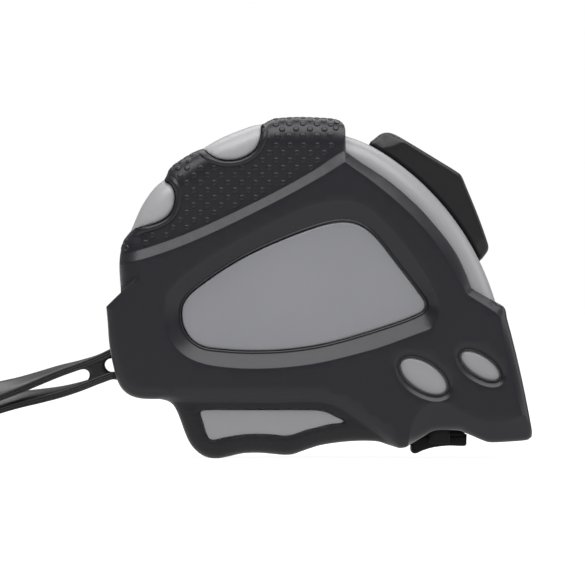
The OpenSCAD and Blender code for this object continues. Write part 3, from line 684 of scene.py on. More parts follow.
plate_loop = curve([(-27.45, 28.6), (-27.2, 30.6), (-25.9, 32.6), (-23.9, 34.3), (-19.9, 37.15), (-15.9, 39.6), (-11.9, 41.65), (-7.9, 43.4), (-3.9, 45.0), (0.1, 46.35), (2.6, 46.95), (4.6, 47.15),
                    (6.6, 46.95), (8.5, 46.2), (10.2, 45.0), (12.1, 43.0), (14.1, 40.4), (16.1, 37.8), (18.1, 35.2), (20.1, 32.5), (20.85, 31.4), (21.05, 30.4), (20.5, 29.4), (19.1, 28.6),
                    (16.1, 27.4), (12.1, 26.05), (8.1, 24.8), (4.1, 23.65), (0.1, 22.7), (-3.9, 22.05), (-7.9, 21.65), (-11.9, 21.5), (-15.9, 21.55), (-19.9, 21.85), (-22.6, 22.2),
                    (-24.4, 22.95), (-26.0, 24.4), (-27.1, 26.5)], 0.6, True)
bevel_loop = curve([(-30.9, 29.6), (-30.5, 32.2), (-28.9, 34.6), (-25.9, 37.2), (-21.9, 40.0), (-15.9, 43.6), (-11.9, 45.75), (-7.9, 47.75), (-1.9, 50.3), (1.6, 51.1), (4.1, 51.35), (7.1, 51.0), (10.1, 49.6), (13.1, 47.0),
                    (16.3, 43.4), (19.4, 39.2), (22.0, 34.9), (23.5, 31.6), (23.7, 29.0), (22.35, 25.9, 1), (19.1, 24.7), (16.1, 23.6), (12.1, 22.15), (6.1, 20.5), (0.1, 19.1), (-5.9, 18.25), (-11.9, 17.9),
                    (-17.9, 18.1), (-22.9, 18.85), (-26.2, 20.1), (-28.6, 22.0), (-30.2, 24.5), (-30.9, 27.2)], 0.6, True)
window_loop = curve([(-23.85, 9.2), (-23.5, 9.65), (-22.6, 9.8), (-14.0, 9.8), (-4.0, 9.8), (-0.3, 9.7), (1.4, 9.35), (3.2, 8.5), (4.7, 7.75), (5.0, 7.4), (4.6, 7.1), (2.1, 6.75), (-0.3, 6.15), (-2.9, 5.5),
                     (-4.4, 4.95), (-5.9, 4.55), (-7.4, 4.45), (-8.9, 4.65), (-11.5, 4.8), (-13.9, 4.78), (-15.9, 4.6), (-18.9, 4.1), (-20.9, 3.65), (-21.9, 3.75), (-22.5, 4.6), (-23.3, 7.1)], 0.5, True)
oval1 = ellipse(20.7, 16.4, 5.35, 2.75, -33.5)
oval2 = ellipse(32.0, 18.5, 4.5, 2.02, -33.5, 60)

# chamfer between the frame and the grip
ch_low = curve([(5.15, 59.1), (0.1, 56.0), (-3.9, 53.75), (-7.9, 51.6), (-11.9, 49.55), (-15.9, 47.55), (-19.9, 45.65), (-23.9, 43.85), (-27.9, 42.2), (-31.9, 40.75), (-34.5, 39.95), (-38.0, 39.1), (-43.0, 38.2)])
ch_high = curve([(5.15, 61.65), (2.5, 59.95), (0.1, 58.25), (-3.9, 55.85), (-7.9, 53.65), (-11.9, 51.6), (-15.9, 49.65), (-19.9, 47.75), (-23.9, 45.95), (-27.9, 44.3), (-31.9, 42.85), (-34.9, 41.85), (-38.0, 41.0), (-43.0, 40.0)])
P_low = np.vstack([ch_low, [(-60, 37), (-60, -20), (70, -20), (70, 90), (5.6, 90), (5.6, 61.7)]])
P_high = np.vstack([ch_high, [(-60, 39), (-60, -20), (70, -20), (70, 90), (5.6, 90), (5.6, 61.7)]])
# chamfer down the front
fr_in = curve([(5.1, 59.1), (8.1, 57.0), (10.6, 55.15), (13.1, 53.15), (15.6, 51.05), (18.1, 48.7), (20.6, 46.1), (23.1, 42.95), (25.6, 39.2), (27.6, 35.7), (29.2, 32.85, 1), (32.1, 31.0), (35.0, 29.05), (36.0, 28.0, 1), (36.7, 23.6), (37.7, 18.7), (38.9, 13.6), (40.3, 8.6), (41.2, 5.2), (42.0, 2.0)])
k_end = int(np.argmin(np.linalg.norm(nose_line - np.array([42.4, 5.2]), axis=1)))
fr_out = np.vstack([front_line, nose_line[1:k_end + 1], [(43.4, 1.0)]])
P_fin = np.vstack([fr_in, [(42.0, -20), (-60, -20), (-60, 90), (5.6, 90), (5.6, 61.2)]])
P_fout = np.vstack([fr_out, [(43.4, -20), (-60, -20), (-60, 90), (5.6, 90), (5.6, 61.2)]])
# bevel under the nose
nb_in = curve([(17.5, 0.0), (17.9, 4.6), (19.0, 8.0), (20.9, 10.3), (23.2, 11.15), (25.6, 10.8), (28.5, 9.1), (31.5, 7.8), (34.6, 7.25), (38.7, 7.8), (40.3, 8.6), (44.0, 10.8)])
P_nin = np.vstack([nb_in, [(70, 12), (70, 90), (-60, 90), (-60, -20), (17.5, -20)]])
nb_out = np.vstack([nose_line[k_end:][::-1], [(44.5, 6.0)]])
P_nout = np.vstack([nb_out, [(70, 6), (70, 90), (-60, 90), (-60, -20), (15.9, -20)]])
# step down to the handle
hd_in = curve([(-33.2, 8.0), (-32.4, 11.6), (-31.0, 12.55), (-29.0, 12.65), (-10.0, 12.6), (1.3, 12.5), (4.9, 11.3), (10.8, 7.3), (14.6, 4.3), (16.6, 0.0)])
hd_out = curve([(-31.6, 8.0), (-31.0, 10.6), (-30.0, 11.15), (-28.5, 11.2), (-10.0, 11.15), (0.9, 11.1), (3.9, 10.1), (9.6, 6.1), (13.2, 3.3), (15.0, -1.0)])
P_hin = np.vstack([hd_in, [(16.6, -20), (70, -20), (70, 90), (-60, 90), (-60, 8.0)]])
P_hout = np.vstack([hd_out, [(15.0, -20), (70, -20), (70, 90), (-60, 90), (-60, 8.0)]])
P_grip = np.vstack([ch_high, [(-60, 39), (-60, 90), (5.15, 90)]])


def open_band(P, pin, pout, lin, lout, w, e):
    di, do = near(P, lin), near(P, lout)
    ii, io = inside(P, pin), inside(P, pout)
    t = np.where(ii, 1 + di / w, np.where(io, do / np.maximum(di + do, 1e-9), -do / w))
    return ramp(t, e)


lip_loop = grown(plate_loop, 0.62)


def jacket_depth(P, holes=(), drops=True):
    f = open_band(P, P_low, P_high, ch_low, ch_high, 1.9, 0.05)
    c = open_band(P, P_fin, P_fout, fr_in, fr_out, 1.9, 0.05)
    b = open_band(P, P_nin, P_nout, nb_in, nb_out, 4.0, 0.03)
    h = open_band(P, P_hin, P_hout, hd_in, hd_out, 1.5, 0.3)
    drop = np.maximum.reduce([1.2 * (1 - f), (1.2 + 0.45 * np.clip((P[:, 1] - 36) / 16, 0, 1)) * (1 - c), 1.8 * (1 - b), 1.45 * (1 - h)])
    drop += 1.9 * band(P, lip_loop, bevel_loop, 4.0, 0.035)
    d = near(P, plate_loop, True)
    drop -= np.where(inside(P, bevel_loop), 0.19 * np.clip(1 - ((d - 0.34) / 0.25) ** 2, 0, 1), 0)
    for o in (oval1, oval2):
        drop += 0.75 * band(P, grown(o, 0.34), grown(o, 1.3), 0.96, 0.12)
    crown = np.minimum.reduce([near(P, L) for L in (rear_up, pads_gap, top_line)])
    for pad in (pad1_in, pad2_in):
        d = near(P, pad)
        drop -= 0.42 * np.sin(math.pi * np.clip(d / 1.25, 0, 1)) ** 0.8 * np.clip((crown - 0.3) / 1.6, 0, 1)
    e = np.zeros(len(P))
    e = np.maximum(e, rounding(P, low_line, R_low))
    for L, R in jacket_wraps[1:]:
        e = np.maximum(e, rounding(P, L, R) * (near(P, L, False, B_top / R_top)[1] if L is top_line else 1.0))
    e = np.maximum(e, rounding(P, top_ext, R_ext) * near(P, top_ext, False, 4.0 / R_ext)[1] * (P[:, 0] < 5.3) * (P[:, 1] > 61.5))
    # the upper rear falls away behind a crisp crest
    up = rounding(P, rear_long, R_long)
    above = np.where(inside(P, P_crest), near(P, crest), 0)
    e = np.maximum(e, up * ramp(above / 0.3, 0.02))
    e = np.maximum(e, rounding(P, front_line, 0.2))
    for hole in holes:
        e = np.maximum(e, rounding(P, hole, 0.22, True))
    for pad in (pad1_in, pad2_in):
        e = np.maximum(e, rounding(P, pad, 0.2))
    return H - drop - e


def jacket(side, extra=()):
    holes = [grown(plate_loop, 0.09), grown(window_loop, 0.12), grown(oval1, 0.34), grown(oval2, 0.34)] + list(extra)
    creases = both(ch_low, 0.1) + both(ch_high, 0.1) + both(fr_in, 0.1) + both(nb_in, 0.12) + both(hd_in, 0.42) + both(hd_out, 0.42)
    creases += [(crest_in, False)] + [(r, False) for r in offset_run(crest_in, -0.3)]
    creases += [(np.array([(5.15, 61.1), (5.12, 59.1)]), False)]
    creases += [(bevel_loop, True), (lip_loop, True)] + ringlines(bevel_loop, 0.14, -0.14)
    creases += ringlines(plate_loop, 0.2, 0.34, 0.48, 0.75)
    for o in (oval1, oval2):
        creases += ringlines(o, 0.45, 0.56, 0.85, 1.18, 1.3, 1.42)
    creases += ringlines(window_loop, 0.2, 0.34)
    for x in extra:
        creases += ringlines(x, 0.12, 0.22)
    for pad in (pad1_in, pad2_in):
        for d in (0.1, 0.2, 0.42, 0.62, 0.85, 1.08, 1.25, 1.35):
            creases += [(r, False) for s in (d, -d) for r in offset_run(pad, s)]
    for L, R in [(low_line, R_low), (rear_up, R_rear)] + jacket_wraps[1:]:
        for s in STEPS:
            creases += [(r, False) for r in offset_run(L, R * s)]
    for s in STEPS[2:]:
        creases += [(r[r[:, 0] > 2.2], False) for r in offset_run(top_ext, R_ext * s) if (r[:, 0] > 2.2).sum() > 1]
    creases += [(r, False) for r in offset_run(front_line, 0.1)] + [(r, False) for r in offset_run(front_line, 0.2)]
    P, F, tags = shell(jacket_loop, [w for w, _ in jacket_wraps], holes, creases, lambda p: jacket_depth(p, holes), HW - 0.25, side,
                       grid=1.7, inset=1.3,
                       tag=lambda c: ((c[:, 2] < 12.0) & inside(c[:, [0, 2]], np.vstack([hd_out, [(15.0, -20), (-60, -20), (-60, 8.0)]]))).astype(int))
    return P, F, tags


def circle(x, z, r, n=40):
    return ellipse(x, z, r, r, 0, n)


def slab(outline, half, edge, grid=1.5, rows=(0.72, 0.36, 0.0), creases=(), drop=None, crown=0.0, gap=0.25, steps=STEPS):
    """A closed solid across the width: both side faces are the same height field with rounded edges."""
    e = np.broadcast_to(np.asarray(edge, float), (len(outline),)).copy()
    cr = list(creases)
    cw = outline if turn(outline) < 0 else outline[::-1]
    for s in steps:
        cr += [(r, False) for r in offset(cw[::-1], e.mean() * s, True)]
    V2, F = triangulate(outline, [], cr, grid, gap)

    def depth(P):
        base = half - (drop(P) if drop is not None else 0)
        return base - rounding(P, outline, e, True)

    D = depth(V2)
    n = len(V2)
    P = [np.column_stack([V2[:, 0], -D, V2[:, 1]]), np.column_stack([V2[:, 0], D, V2[:, 1]])]
    faces = [tuple(f) for f in F] + [(f[0] + n, f[2] + n, f[1] + n) for f in F]
    fr = [r for r in rows] + [-r for r in reversed(rows) if r > 0]
    off = 2 * n
    for L in loops_of(F):
        m = len(L)
        A = V2[L]
        T = np.roll(A, -1, 0) - np.roll(A, 1, 0)
        T = T / np.maximum(np.linalg.norm(T, axis=1), 1e-9)[:, None]
        N = np.stack([T[:, 1], -T[:, 0]], 1)
        for r in fr:
            q = A + N * crown * (1 - r * r)
            P.append(np.column_stack([q[:, 0], -D[L] * r, q[:, 1]]))
        ring = [list(L)] + [[off + k * m + i for i in range(m)] for k in range(len(fr))] + [[v + n for v in L]]
        off += m * len(fr)
        for a, b in zip(ring[:-1], ring[1:]):
            for i in range(m):
                j = (i + 1) % m
                faces.append((a[i], b[i], b[j], a[j]))
    return np.vstack(P), faces


def arc_line(r, a0, a1, n):
    t = np.radians(np.linspace(a0, a1, n))
    return np.stack([AX + r * np.cos(t), AZ + r * np.sin(t)], 1)


# ---------------------------------------------------------------- the strap comes first
strap_route = [(-34.7, 0, 19.4, 0), (-35.1, 0, 21, 0), (-36.2, 0, 22.1, 0), (-37.6, 0, 22.4, 0),
    (-39.5, 0, 22, 0), (-41.5, 0, 21.2, 0), (-44, 0, 20, 0), (-48, -0.1, 18.6, 4), (-52, -0.2, 17.4, 9),
    (-56, -0.5, 16, 14), (-60, -0.9, 14.6, 20), (-64, -1.4, 13.4, 27), (-70, -2.6, 11.6, 38),
    (-77, -4.6, 9.2, 52), (-85, -7.2, 6.4, 68), (-93, -9.6, 4.2, 82), (-101, -11.6, 3.2, 90),
    (-110, -13, 3.1, 90), (-119, -13.4, 3.1, 90), (-128, -12.6, 3.1, 90), (-135, -10.4, 3.1, 90),
    (-140, -6.8, 3.1, 90), (-142.6, -2.2, 3.1, 90), (-142.6, 2.4, 3.1, 90), (-140, 7, 3.1, 90),
    (-135, 10.6, 3.1, 90), (-128, 12.8, 3.1, 90), (-119, 13.6, 3.1, 90), (-110, 13.2, 3.1, 90),
    (-101, 11.8, 3.1, 90), (-93, 9.8, 3.6, 84), (-85, 7.4, 5, 72), (-77, 4.8, 7.2, 56),
    (-70, 2.8, 9.2, 41), (-64, 1.4, 10.8, 29), (-60, 0.9, 11.6, 21), (-56, 0.5, 12.3, 15),
    (-52, 0.2, 13.1, 9), (-48, 0.1, 14.2, 4), (-44, 0, 15.6, 0), (-41.5, 0, 16.4, 0),
    (-39.5, 0, 16, 0), (-37.6, 0, 15.6, 0), (-36.2, 0, 15.9, 0), (-35.1, 0, 17, 0), (-34.7, 0, 18.6, 0)]


def spline3(P, per=5):
    """Centripetal spline through 3-D or wider rows."""
    P = np.asarray(P, float)
    E = np.vstack([2 * P[0] - P[1], P, 2 * P[-1] - P[-2]])
    out = []
    for i in range(1, len(E) - 2):
        p0, p1, p2, p3 = E[i - 1], E[i], E[i + 1], E[i + 2]
        for j in range(per):
            u = j / per
            out.append(0.5 * ((2 * p1) + (p2 - p0) * u + (2 * p0 - 5 * p1 + 4 * p2 - p3) * u * u + (3 * p1 - p0 - 3 * p2 + p3) * u ** 3))
    out.append(P[-1])
    return np.array(out)


def band_sweep(rows, prof):
    """Sweeps a closed section (width, thickness) along rows of x, y, z, turn."""
    C = rows[:, :3]
    T = np.gradient(C, axis=0)
    T /= np.linalg.norm(T, axis=1)[:, None]
    k = len(prof)
    V = []
    for p, al, a in zip(C, T, np.radians(rows[:, 3])):
        wd = np.array([0, math.cos(a), math.sin(a)])
        wd = wd - (wd @ al) * al
        wd /= np.linalg.norm(wd)
        n = np.cross(al, wd)
        for w, t in prof:
            V.append(p + wd * w + n * t)
    F = [tuple(range(k)), tuple((len(C) - 1) * k + j for j in reversed(range(k)))]
    for i in range(len(C) - 1):
        for j in range(k):
            F.append((i * k + j, (i + 1) * k + j, (i + 1) * k + (j + 1) % k, i * k + (j + 1) % k))
    return V, F


# a flat band 6 mm wide with two fine grooves along each edge
def strap_section(w=3.0, t=0.75, g=0.13):
    side = [(w - 0.3, t), (w - 0.08, t - 0.08), (w, t - 0.26), (w, 0.34), (w - g, 0.23), (w, 0.12),
            (w, -0.12), (w - g, -0.23), (w, -0.34), (w, 0.26 - t), (w - 0.08, 0.08 - t), (w - 0.3, -t)]
    face = [(1.4, -t - 0.02), (0, -t - 0.03), (-1.4, -t - 0.02)]
    half = side + face
    return half + [(-x, -y) for x, y in half]


strap_rows = spline3(strap_route, 4)
sv, sf = band_sweep(strap_rows, strap_section())
strap = piece("wrist_strap_band", sv, sf, STRAP, sharp=50)
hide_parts("wrist_strap")

# the moulded web between the two strands, with the eye next to the case
web_loop = curve([(-41.6, 20.5, 1), (-41.6, 19.95), (-42.3, 19.75), (-42.9, 19.3), (-43.15, 18.6), (-42.95, 17.9), (-42.5, 17.4), (-41.9, 17.15), (-41.2, 17.2, 1), (-41.3, 16.5, 1), (-43.5, 15.9), (-45.5, 15.2),
                  (-47.5, 14.5), (-49.0, 14.1, 1), (-48.2, 14.85), (-47.2, 15.1), (-46.5, 15.6), (-46.15, 16.5), (-46.4, 17.3), (-47.2, 17.7), (-48.5, 17.45), (-50.0, 17.1, 1), (-49.0, 18.1), (-46.0, 19.2), (-43.5, 20.1)], 0.3, True)
wv, wf = slab(web_loop, 2.8, 0.35, grid=0.9, rows=(0.6, 0.0), gap=0.12, steps=(0.3, 1.0))
web = piece("strap_web", wv, wf, STRAP, replaces=["strap_bridge"], sharp=50)


# ---------------------------------------------------------------- jackets
def box_tool(x0, x1, y0, y1, z0, z1):
    v = [(x, y, z) for x in (x0, x1) for y in (y0, y1) for z in (z0, z1)]
    f = [(0, 1, 3, 2), (4, 6, 7, 5), (0, 4, 5, 1), (2, 3, 7, 6), (0, 2, 6, 4), (1, 5, 7, 3)]
    return v, f


def cut(ob, boxes):
    """Takes plain boxes (mm) out of a piece, for openings."""
    V, F = [], []
    for b in boxes:
        v, f = box_tool(*b)
        F += [tuple(i + len(V) for i in q) for q in f]
        V += v
    me = bpy.data.meshes.new("cutter")
    me.from_pydata([(x * MM, (y + YM) * MM, z * MM) for x, y, z in V], [], F)
    c = bpy.data.objects.new("cutter", me)
    scene.collection.objects.link(c)
    m = ob.modifiers.new("openings", "BOOLEAN")
    m.operation = "DIFFERENCE"
    m.solver = "EXACT"
    m.object = c
    m.use_self = True
    dg = bpy.context.evaluated_depsgraph_get()
    dg.update()
    new = bpy.data.meshes.new_from_object(ob.evaluated_get(dg), depsgraph=dg)
    old = ob.data
    ob.modifiers.remove(m)
    ob.data = new
    bpy.data.objects.remove(c)
    bpy.data.meshes.remove(me)
    bpy.data.meshes.remove(old)
    bm = bmesh.new()
    bm.from_mesh(new)
    bmesh.ops.remove_doubles(bm, verts=bm.verts, dist=3e-7)
    bmesh.ops.dissolve_degenerate(bm, dist=2e-7, edges=bm.edges)
    bm.to_mesh(new)
    bm.free()
    new.polygons.foreach_set("use_smooth", np.ones(len(new.polygons), bool))
    new.set_sharp_from_angle(angle=math.radians(38))
    return ob


MOUTH = (36.0, 45.0, -10.3, 10.3, 6.6, 12.2)
FACE = (39.6, 46.0, -11.5, 11.5, -1.0, 13.0)
UNDER = (17.6, 29.95, -8.4, 8.4, -1.0, 7.15)
STEMS = (21.6, 26.4, -13.0, 13.0, -1.0, 6.7)
POCKET = (-43.5, -33.8, -3.8, 3.8, 14.6, 23.4)
screw_holes = [circle(-22, 54.5, 2.6), circle(4, 56, 2.6), circle(-33.5, 27, 2.6)]
for side, name in ((-1, "left"), (1, "right")):
    P, F, tags = jacket(side, screw_holes if side > 0 else ())
    ob = piece("jacket_shell_" + name, P, F, [RUBBER, ROUGH_RUBBER], tags, replaces=["jacket_" + name])
    cut(ob, [FACE, UNDER, STEMS, POCKET])


# ---------------------------------------------------------------- the plastic case
pad1_loop = np.vstack([pad1_out[:-1], pad1_in[::-1][:-1]])
pad2_loop = np.vstack([pad2_out[:-1], pad2_in[::-1][:-1]])


def arc_fall(a):
    """How far the arc drops away from its circle towards the peak."""
    t = np.clip((np.asarray(a, float) - 59.0) / 7.0, 0, 1.1)
    return 0.5 * t ** 1.7


def case_copy(name):
    """The CAD half case with its raised islands sunk under the detailed ones."""
    me = bpy.data.objects[name].data.copy()
    bm = bmesh.new()
    bm.from_mesh(me)
    bmesh.ops.remove_doubles(bm, verts=bm.verts, dist=2e-6)
    bmesh.ops.dissolve_limit(bm, angle_limit=math.radians(1.0), verts=bm.verts, edges=bm.edges)
    vs = list(bm.verts)
    X = np.array([v.co.x / MM for v in vs])
    Y = np.array([v.co.y / MM - YM for v in vs])
    Z = np.array([v.co.z / MM for v in vs])
    P = np.stack([X, Z], 1)
    for loop, out in ((pad1_loop, pad1_out), (pad2_loop, pad2_out)):
        hit = inside(P, loop) | (near(P, loop, True) < 0.35)
        deep = hit & (np.abs(Y) > 12.6)
        Y[deep] = np.sign(Y[deep]) * 12.6
        edge = hit & (near(P, out) < 0.5)
        cen = loop.mean(0)
        d = cen - P
        d /= np.linalg.norm(d, axis=1)[:, None]
        X[edge] += d[edge, 0] * 0.9
        Z[edge] += d[edge, 1] * 0.9
    for loop in (oval1, oval2):
        hit = (inside(P, loop) | (near(P, loop, True) < 0.3)) & (np.abs(Y) > 17.6)
        Y[hit] = np.sign(Y[hit]) * 17.6
    hit = (inside(P, window_loop) | (near(P, window_loop, True) < 0.4)) & (np.abs(Y) > 16.9)
    Y[hit] = np.sign(Y[hit]) * 16.7
    low = (Z < 5.9) & (X > 17.4) & (X < 31)
    Z[low] = 6.15
    r = np.hypot(X - AX, Z - AZ)
    th = np.degrees(np.arctan2(Z - AZ, X - AX))
    hit = (th > 15.5) & (th < 68) & (r > AR - 4.6) & (r < AR + 0.3)
    k = np.where(hit, (r - 0.12 - arc_fall(th)) / np.maximum(r, 1), 1.0)
    X, Z = AX + (X - AX) * k, AZ + (Z - AZ) * k
    for v, x, y, z in zip(vs, X, Y, Z):
        v.co = (x * MM, (y + YM) * MM, z * MM)
    bm.to_mesh(me)
    bm.free()
    me.materials.clear()
    me.materials.append(CASE_GREY)
    ob = bpy.data.objects.new(name.replace("case_", "case_wall_"), me)
    scene.collection.objects.link(ob)
    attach(ob, "case")
    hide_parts(name)
    return ob


case_walls = [case_copy("case_left"), case_copy("case_right")]

# the skin of the front arc, with the lock's slot and the parting line down its middle
sh = [(AR - 6.0, HW + 0.03)] + [(AR - 4 + 4 * math.sin(a), HW - 3.97 + 4 * math.cos(a)) for a in np.radians(np.arange(0, 91, 7.5))]
sh += [(AR, y) for y in (11.0, 9.5, 8.0, 6.5, 5.2, 4.3)] + [(AR, 3.85), (AR - 0.05, 3.6), (AR - 0.22, 3.5)]
flat = [(AR, 2.4), (AR, 1.2), (AR, 0.16), (AR - 0.16, 0.0)]
prof = sh + flat
prof = prof + [(r, -y) for r, y in prof[-2::-1]]
theta = np.unique(np.round(np.concatenate([[15.6, 16.4, 17.3, 18.2, 19.2, 19.75, 19.9, 20.0, 20.25], np.arange(21.5, 59, 1.5), [59.75, 60.0, 60.1, 60.25, 61.5, 63, 64.5, 66.4]]), 3))
ro = np.array([p[0] for p in prof])
yo = np.array([p[1] for p in prof])
in_slot = np.abs(yo) <= 3.5
V, F = [], []
T = 1.2


def arc_pt(r, y, a):
    r -= float(arc_fall(a))
    a = math.radians(a)
    return (AX + r * math.cos(a), y, AZ + r * math.sin(a))


nr = len(prof)
for a in theta:
    for r, y in zip(ro, yo):
        rr = r
        slot_band = 20.0 <= a <= 60.0
        if not slot_band and 3.4 < abs(y) < 3.9:
            rr = AR
        if abs(y) < 3.55 and (19.7 < a < 20.05 or 59.95 < a < 60.3) and abs(y) > 0.2:
            rr = AR - (0.22 if 19.95 <= a <= 60.05 else 0.05)
        V.append(arc_pt(rr, y, a))
inner = len(V)
for a in theta:
    for r, y in zip(ro, yo):
        yy = math.copysign(min(abs(y), HW - T), y) if abs(y) > 0.01 else 0.0
        V.append(arc_pt(min(r, AR) - T if abs(y) < HW - 2 else min(r, AR - 3) - T * 0.5, yy, a))
solid = set()
for i in range(len(theta) - 1):
    for j in range(nr - 1):
        hole = theta[i] >= 20.0 and theta[i + 1] <= 60.0 and in_slot[j] and in_slot[j + 1]
        if not hole:
            solid.add((i, j))
for (i, j) in solid:
    a, b, c, d = i * nr + j, i * nr + j + 1, (i + 1) * nr + j + 1, (i + 1) * nr + j
    F.append((a, b, c, d))
    F.append((a + inner, d + inner, c + inner, b + inner))
    for (di, dj), (p, q) in (((0, -1), (a, d)), ((0, 1), (c, b)), ((-1, 0), (b, a)), ((1, 0), (d, c))):
        if (i + di, j + dj) not in solid:
            F.append((p, q, q + inner, p + inner))
piece("front_arc", V, F, CASE_GREY, sharp=40)


# ---------------------------------------------------------------- pads, ovals, windows and label plates
def pad_depth(P, inner, outer, R):
    d = near(P, inner)
    base = 17.15 + 0.85 * (1 - np.exp(-d / 1.3))
    return base - rounding(P, outer, R) - rounding(P, inner, 0.3)


for k, (pin, pout, R) in enumerate(((pad1_in, pad1_out, R_p1), (pad2_in, pad2_out, R_p2))):
    inn = offset_run(pin, -0.14)
    inn = max(inn, key=len)
    inn = inn[(near(inn, pout) > 0.25) & inside(inn, np.vstack([pout[:-1], pin[::-1][:-1]]))]
    loop = np.vstack([pout, inn[::-1]])
    keep = [0]
    for i in range(1, len(loop)):
        if np.linalg.norm(loop[i] - loop[keep[-1]]) > 0.1:
            keep.append(i)
    loop = loop[keep]
    cr = [(r, False) for s in STEPS for r in offset_run(pout, R * s)]
    cr += [(r, False) for d in (0.12, 0.3) for r in offset_run(inn, -d)]
    for side, name in ((-1, "left"), (1, "right")):
        P, F, _ = shell(loop, [pout], [], cr, lambda p: pad_depth(p, inn, pout, R), 12.2, side, grid=1.3, inset=1.0, groove=0.12)
        piece("top_pad_%d_%s" % (k + 1, name), P, F, PAD_GREY, sharp=42)

# the rim of the case that the pads stand on, made black as painted shade for the dark gaps around the pads
rim = np.vstack([rear_up[-5:-1], pad1_out[:-1], pads_gap[:-1], pad2_out[:-1], top_line[:8]])
rim_t = np.gradient(rim, axis=0)
for i in range(2):
    rim_t[1:-1] = (rim_t[:-2] + rim_t[1:-1] + rim_t[2:]) / 3
rim_t /= np.linalg.norm(rim_t, axis=1)[:, None]
rim_n = np.stack([rim_t[:, 1], -rim_t[:, 0]], 1)
rows = [rim + rim_n * 0.32, rim + rim_n * 1.9]
nr = len(rim)
for side, name in ((-1, "left"), (1, "right")):
    V, F = [], []
    for y in (2.0, 5.0, 8.0, 9.0):
        for q, row in enumerate(rows):
            for p in row:
                V.append((p[0], side * y, p[1]))
    at = lambda iy, q, i: (iy * 2 + q) * nr + i
    for i in range(nr - 1):
        for iy in range(3):
            for q in (0, 1):
                F.append((at(iy, q, i), at(iy, q, i + 1), at(iy + 1, q, i + 1), at(iy + 1, q, i)))
        for iy in (0, 3):
            F.append((at(iy, 0, i), at(iy, 1, i), at(iy, 1, i + 1), at(iy, 0, i + 1)))
    for iy in range(3):
        for i in (0, nr - 1):
            F.append((at(iy, 0, i), at(iy, 1, i), at(iy + 1, 1, i), at(iy + 1, 0, i)))
    # black here is painted shade for the gaps around the pads; the case plastic itself is grey
    piece("pad_rim_" + name, V, F, BLACK, sharp=30)

for k, (ell, a, b) in enumerate(((oval1, 5.35, 2.75), (oval2, 4.5, 2.02))):
    small = grown(ell, -0.08)
    cr = [(grown(ell, -d), True) for d in (0.16, 0.32, 0.6, 1.1)]

    def oval_depth(P, e=small):
        d = near(P, e, True)
        return 18.05 + 0.5 * (1 - np.exp(-d / 0.9)) - rounding(P, e, 0.3, True)
    for side, name in ((-1, "left"), (1, "right")):
        holes = [circle(20.7, 16.4, 2.45)] if (side > 0 and k == 0) else []
        c2 = cr if not holes else cr[:3]
        P, F, _ = shell(small, [], holes, c2, oval_depth, 16.4, side, grid=0.9)
        piece("oval_%d_%s" % (k + 1, name), P, F, OVAL_GREY, sharp=42)

for side, name in ((-1, "left"), (1, "right")):
    wl = grown(window_loop, -0.02)
    P, F, _ = shell(wl, [], [], [(r, False) for d in (0.14, 0.3) for r in offset(wl[::-1], d, True)],
                    lambda p: 17.2 - rounding(p, wl, 0.3, True), 15.6, side, grid=1.5)
    piece("handle_insert_" + name, P, F, OVAL_GREY, sharp=42)
    pl = grown(plate_loop, -0.02)

    def plate_depth(p):
        d = near(p, pl, True)
        return 17.12 + 0.5 * (1 - np.exp(-d / 4.0)) - rounding(p, pl, 0.38, True)
    holes = [circle(-2, 40.6, 2.0)] if side > 0 else []
    P, F, _ = shell(pl, [], holes, [(r, False) for d in (0.1, 0.2, 0.38, 0.9, 1.8, 3.2, 5.2) for r in offset(pl[::-1], d, True)],
                    plate_depth, 16.45, side, grid=1.7)
    piece("label_plate_piece_" + name, P, F, PLATE_GREY, replaces=["label_plate_" + name], sharp=42)


# ---------------------------------------------------------------- dots on the grip
def surface(P):
    """Depth and normal (dx, dy, dz) of the -Y jacket face at P."""
    e = 0.02
    d0 = jacket_depth(P)
    gx = (jacket_depth(P + [e, 0]) - jacket_depth(P - [e, 0])) / (2 * e)
    gz = (jacket_depth(P + [0, e]) - jacket_depth(P - [0, e])) / (2 * e)
    n = np.stack([-gx, np.ones(len(P)), -gz], 1)
    return d0, n / np.linalg.norm(n, axis=1)[:, None]


dots = []                 # centre (x, y', z) and normal, for the half with y' > 0
sx, sz = 2.74, 1.49
x0, z0 = (207.8 - 319.5) / 5, (458 - 190.8) / 5
g = []
for r in range(-12, 14):
    for c in range(-12, 16):
        g.append((x0 + c * sx + (sx / 2 if r % 2 else 0), z0 + r * sz))
g = np.array(g)
grip_loop = jacket_loop
ok = inside(g, grip_loop) & inside(g, P_grip)
g = g[ok]


def clear_of(P, gap_pad=1.5):
    k = near(P, ch_high) > 0.66
    for pad in (pad1_in, pad2_in):
        k &= near(P, pad) > gap_pad
    return k


def free_of_screws(P):
    k = np.ones(len(P), bool)
    for hole in ((-22, 54.5), (4, 56)):
        k &= np.hypot(P[:, 0] - hole[0], P[:, 1] - hole[1]) > 3.3
    return k


sil = [rear_up, pads_gap, top_line]
sil_R = [R_rear, R_gap, R_top]
tilt_ok = np.ones(len(g), bool)
sil_tilt = [50, 50, 21]     # where the rows that follow the rounding begin
for L, R, tilt in zip(sil, sil_R, (38, 38, 12)):
    d, rr = near(g, L, False, R)
    tilt_ok &= d > rr * (1 - math.sin(math.radians(tilt)))
g = g[clear_of(g) & tilt_ok & (near(g, peak_line) > 1.2) & (g[:, 1] < 63.2)]
d0, nn = surface(g)
side_dots = [(np.array([p[0], d, p[1]]), n, p, 0.18) for p, d, n in zip(g, d0, nn)]

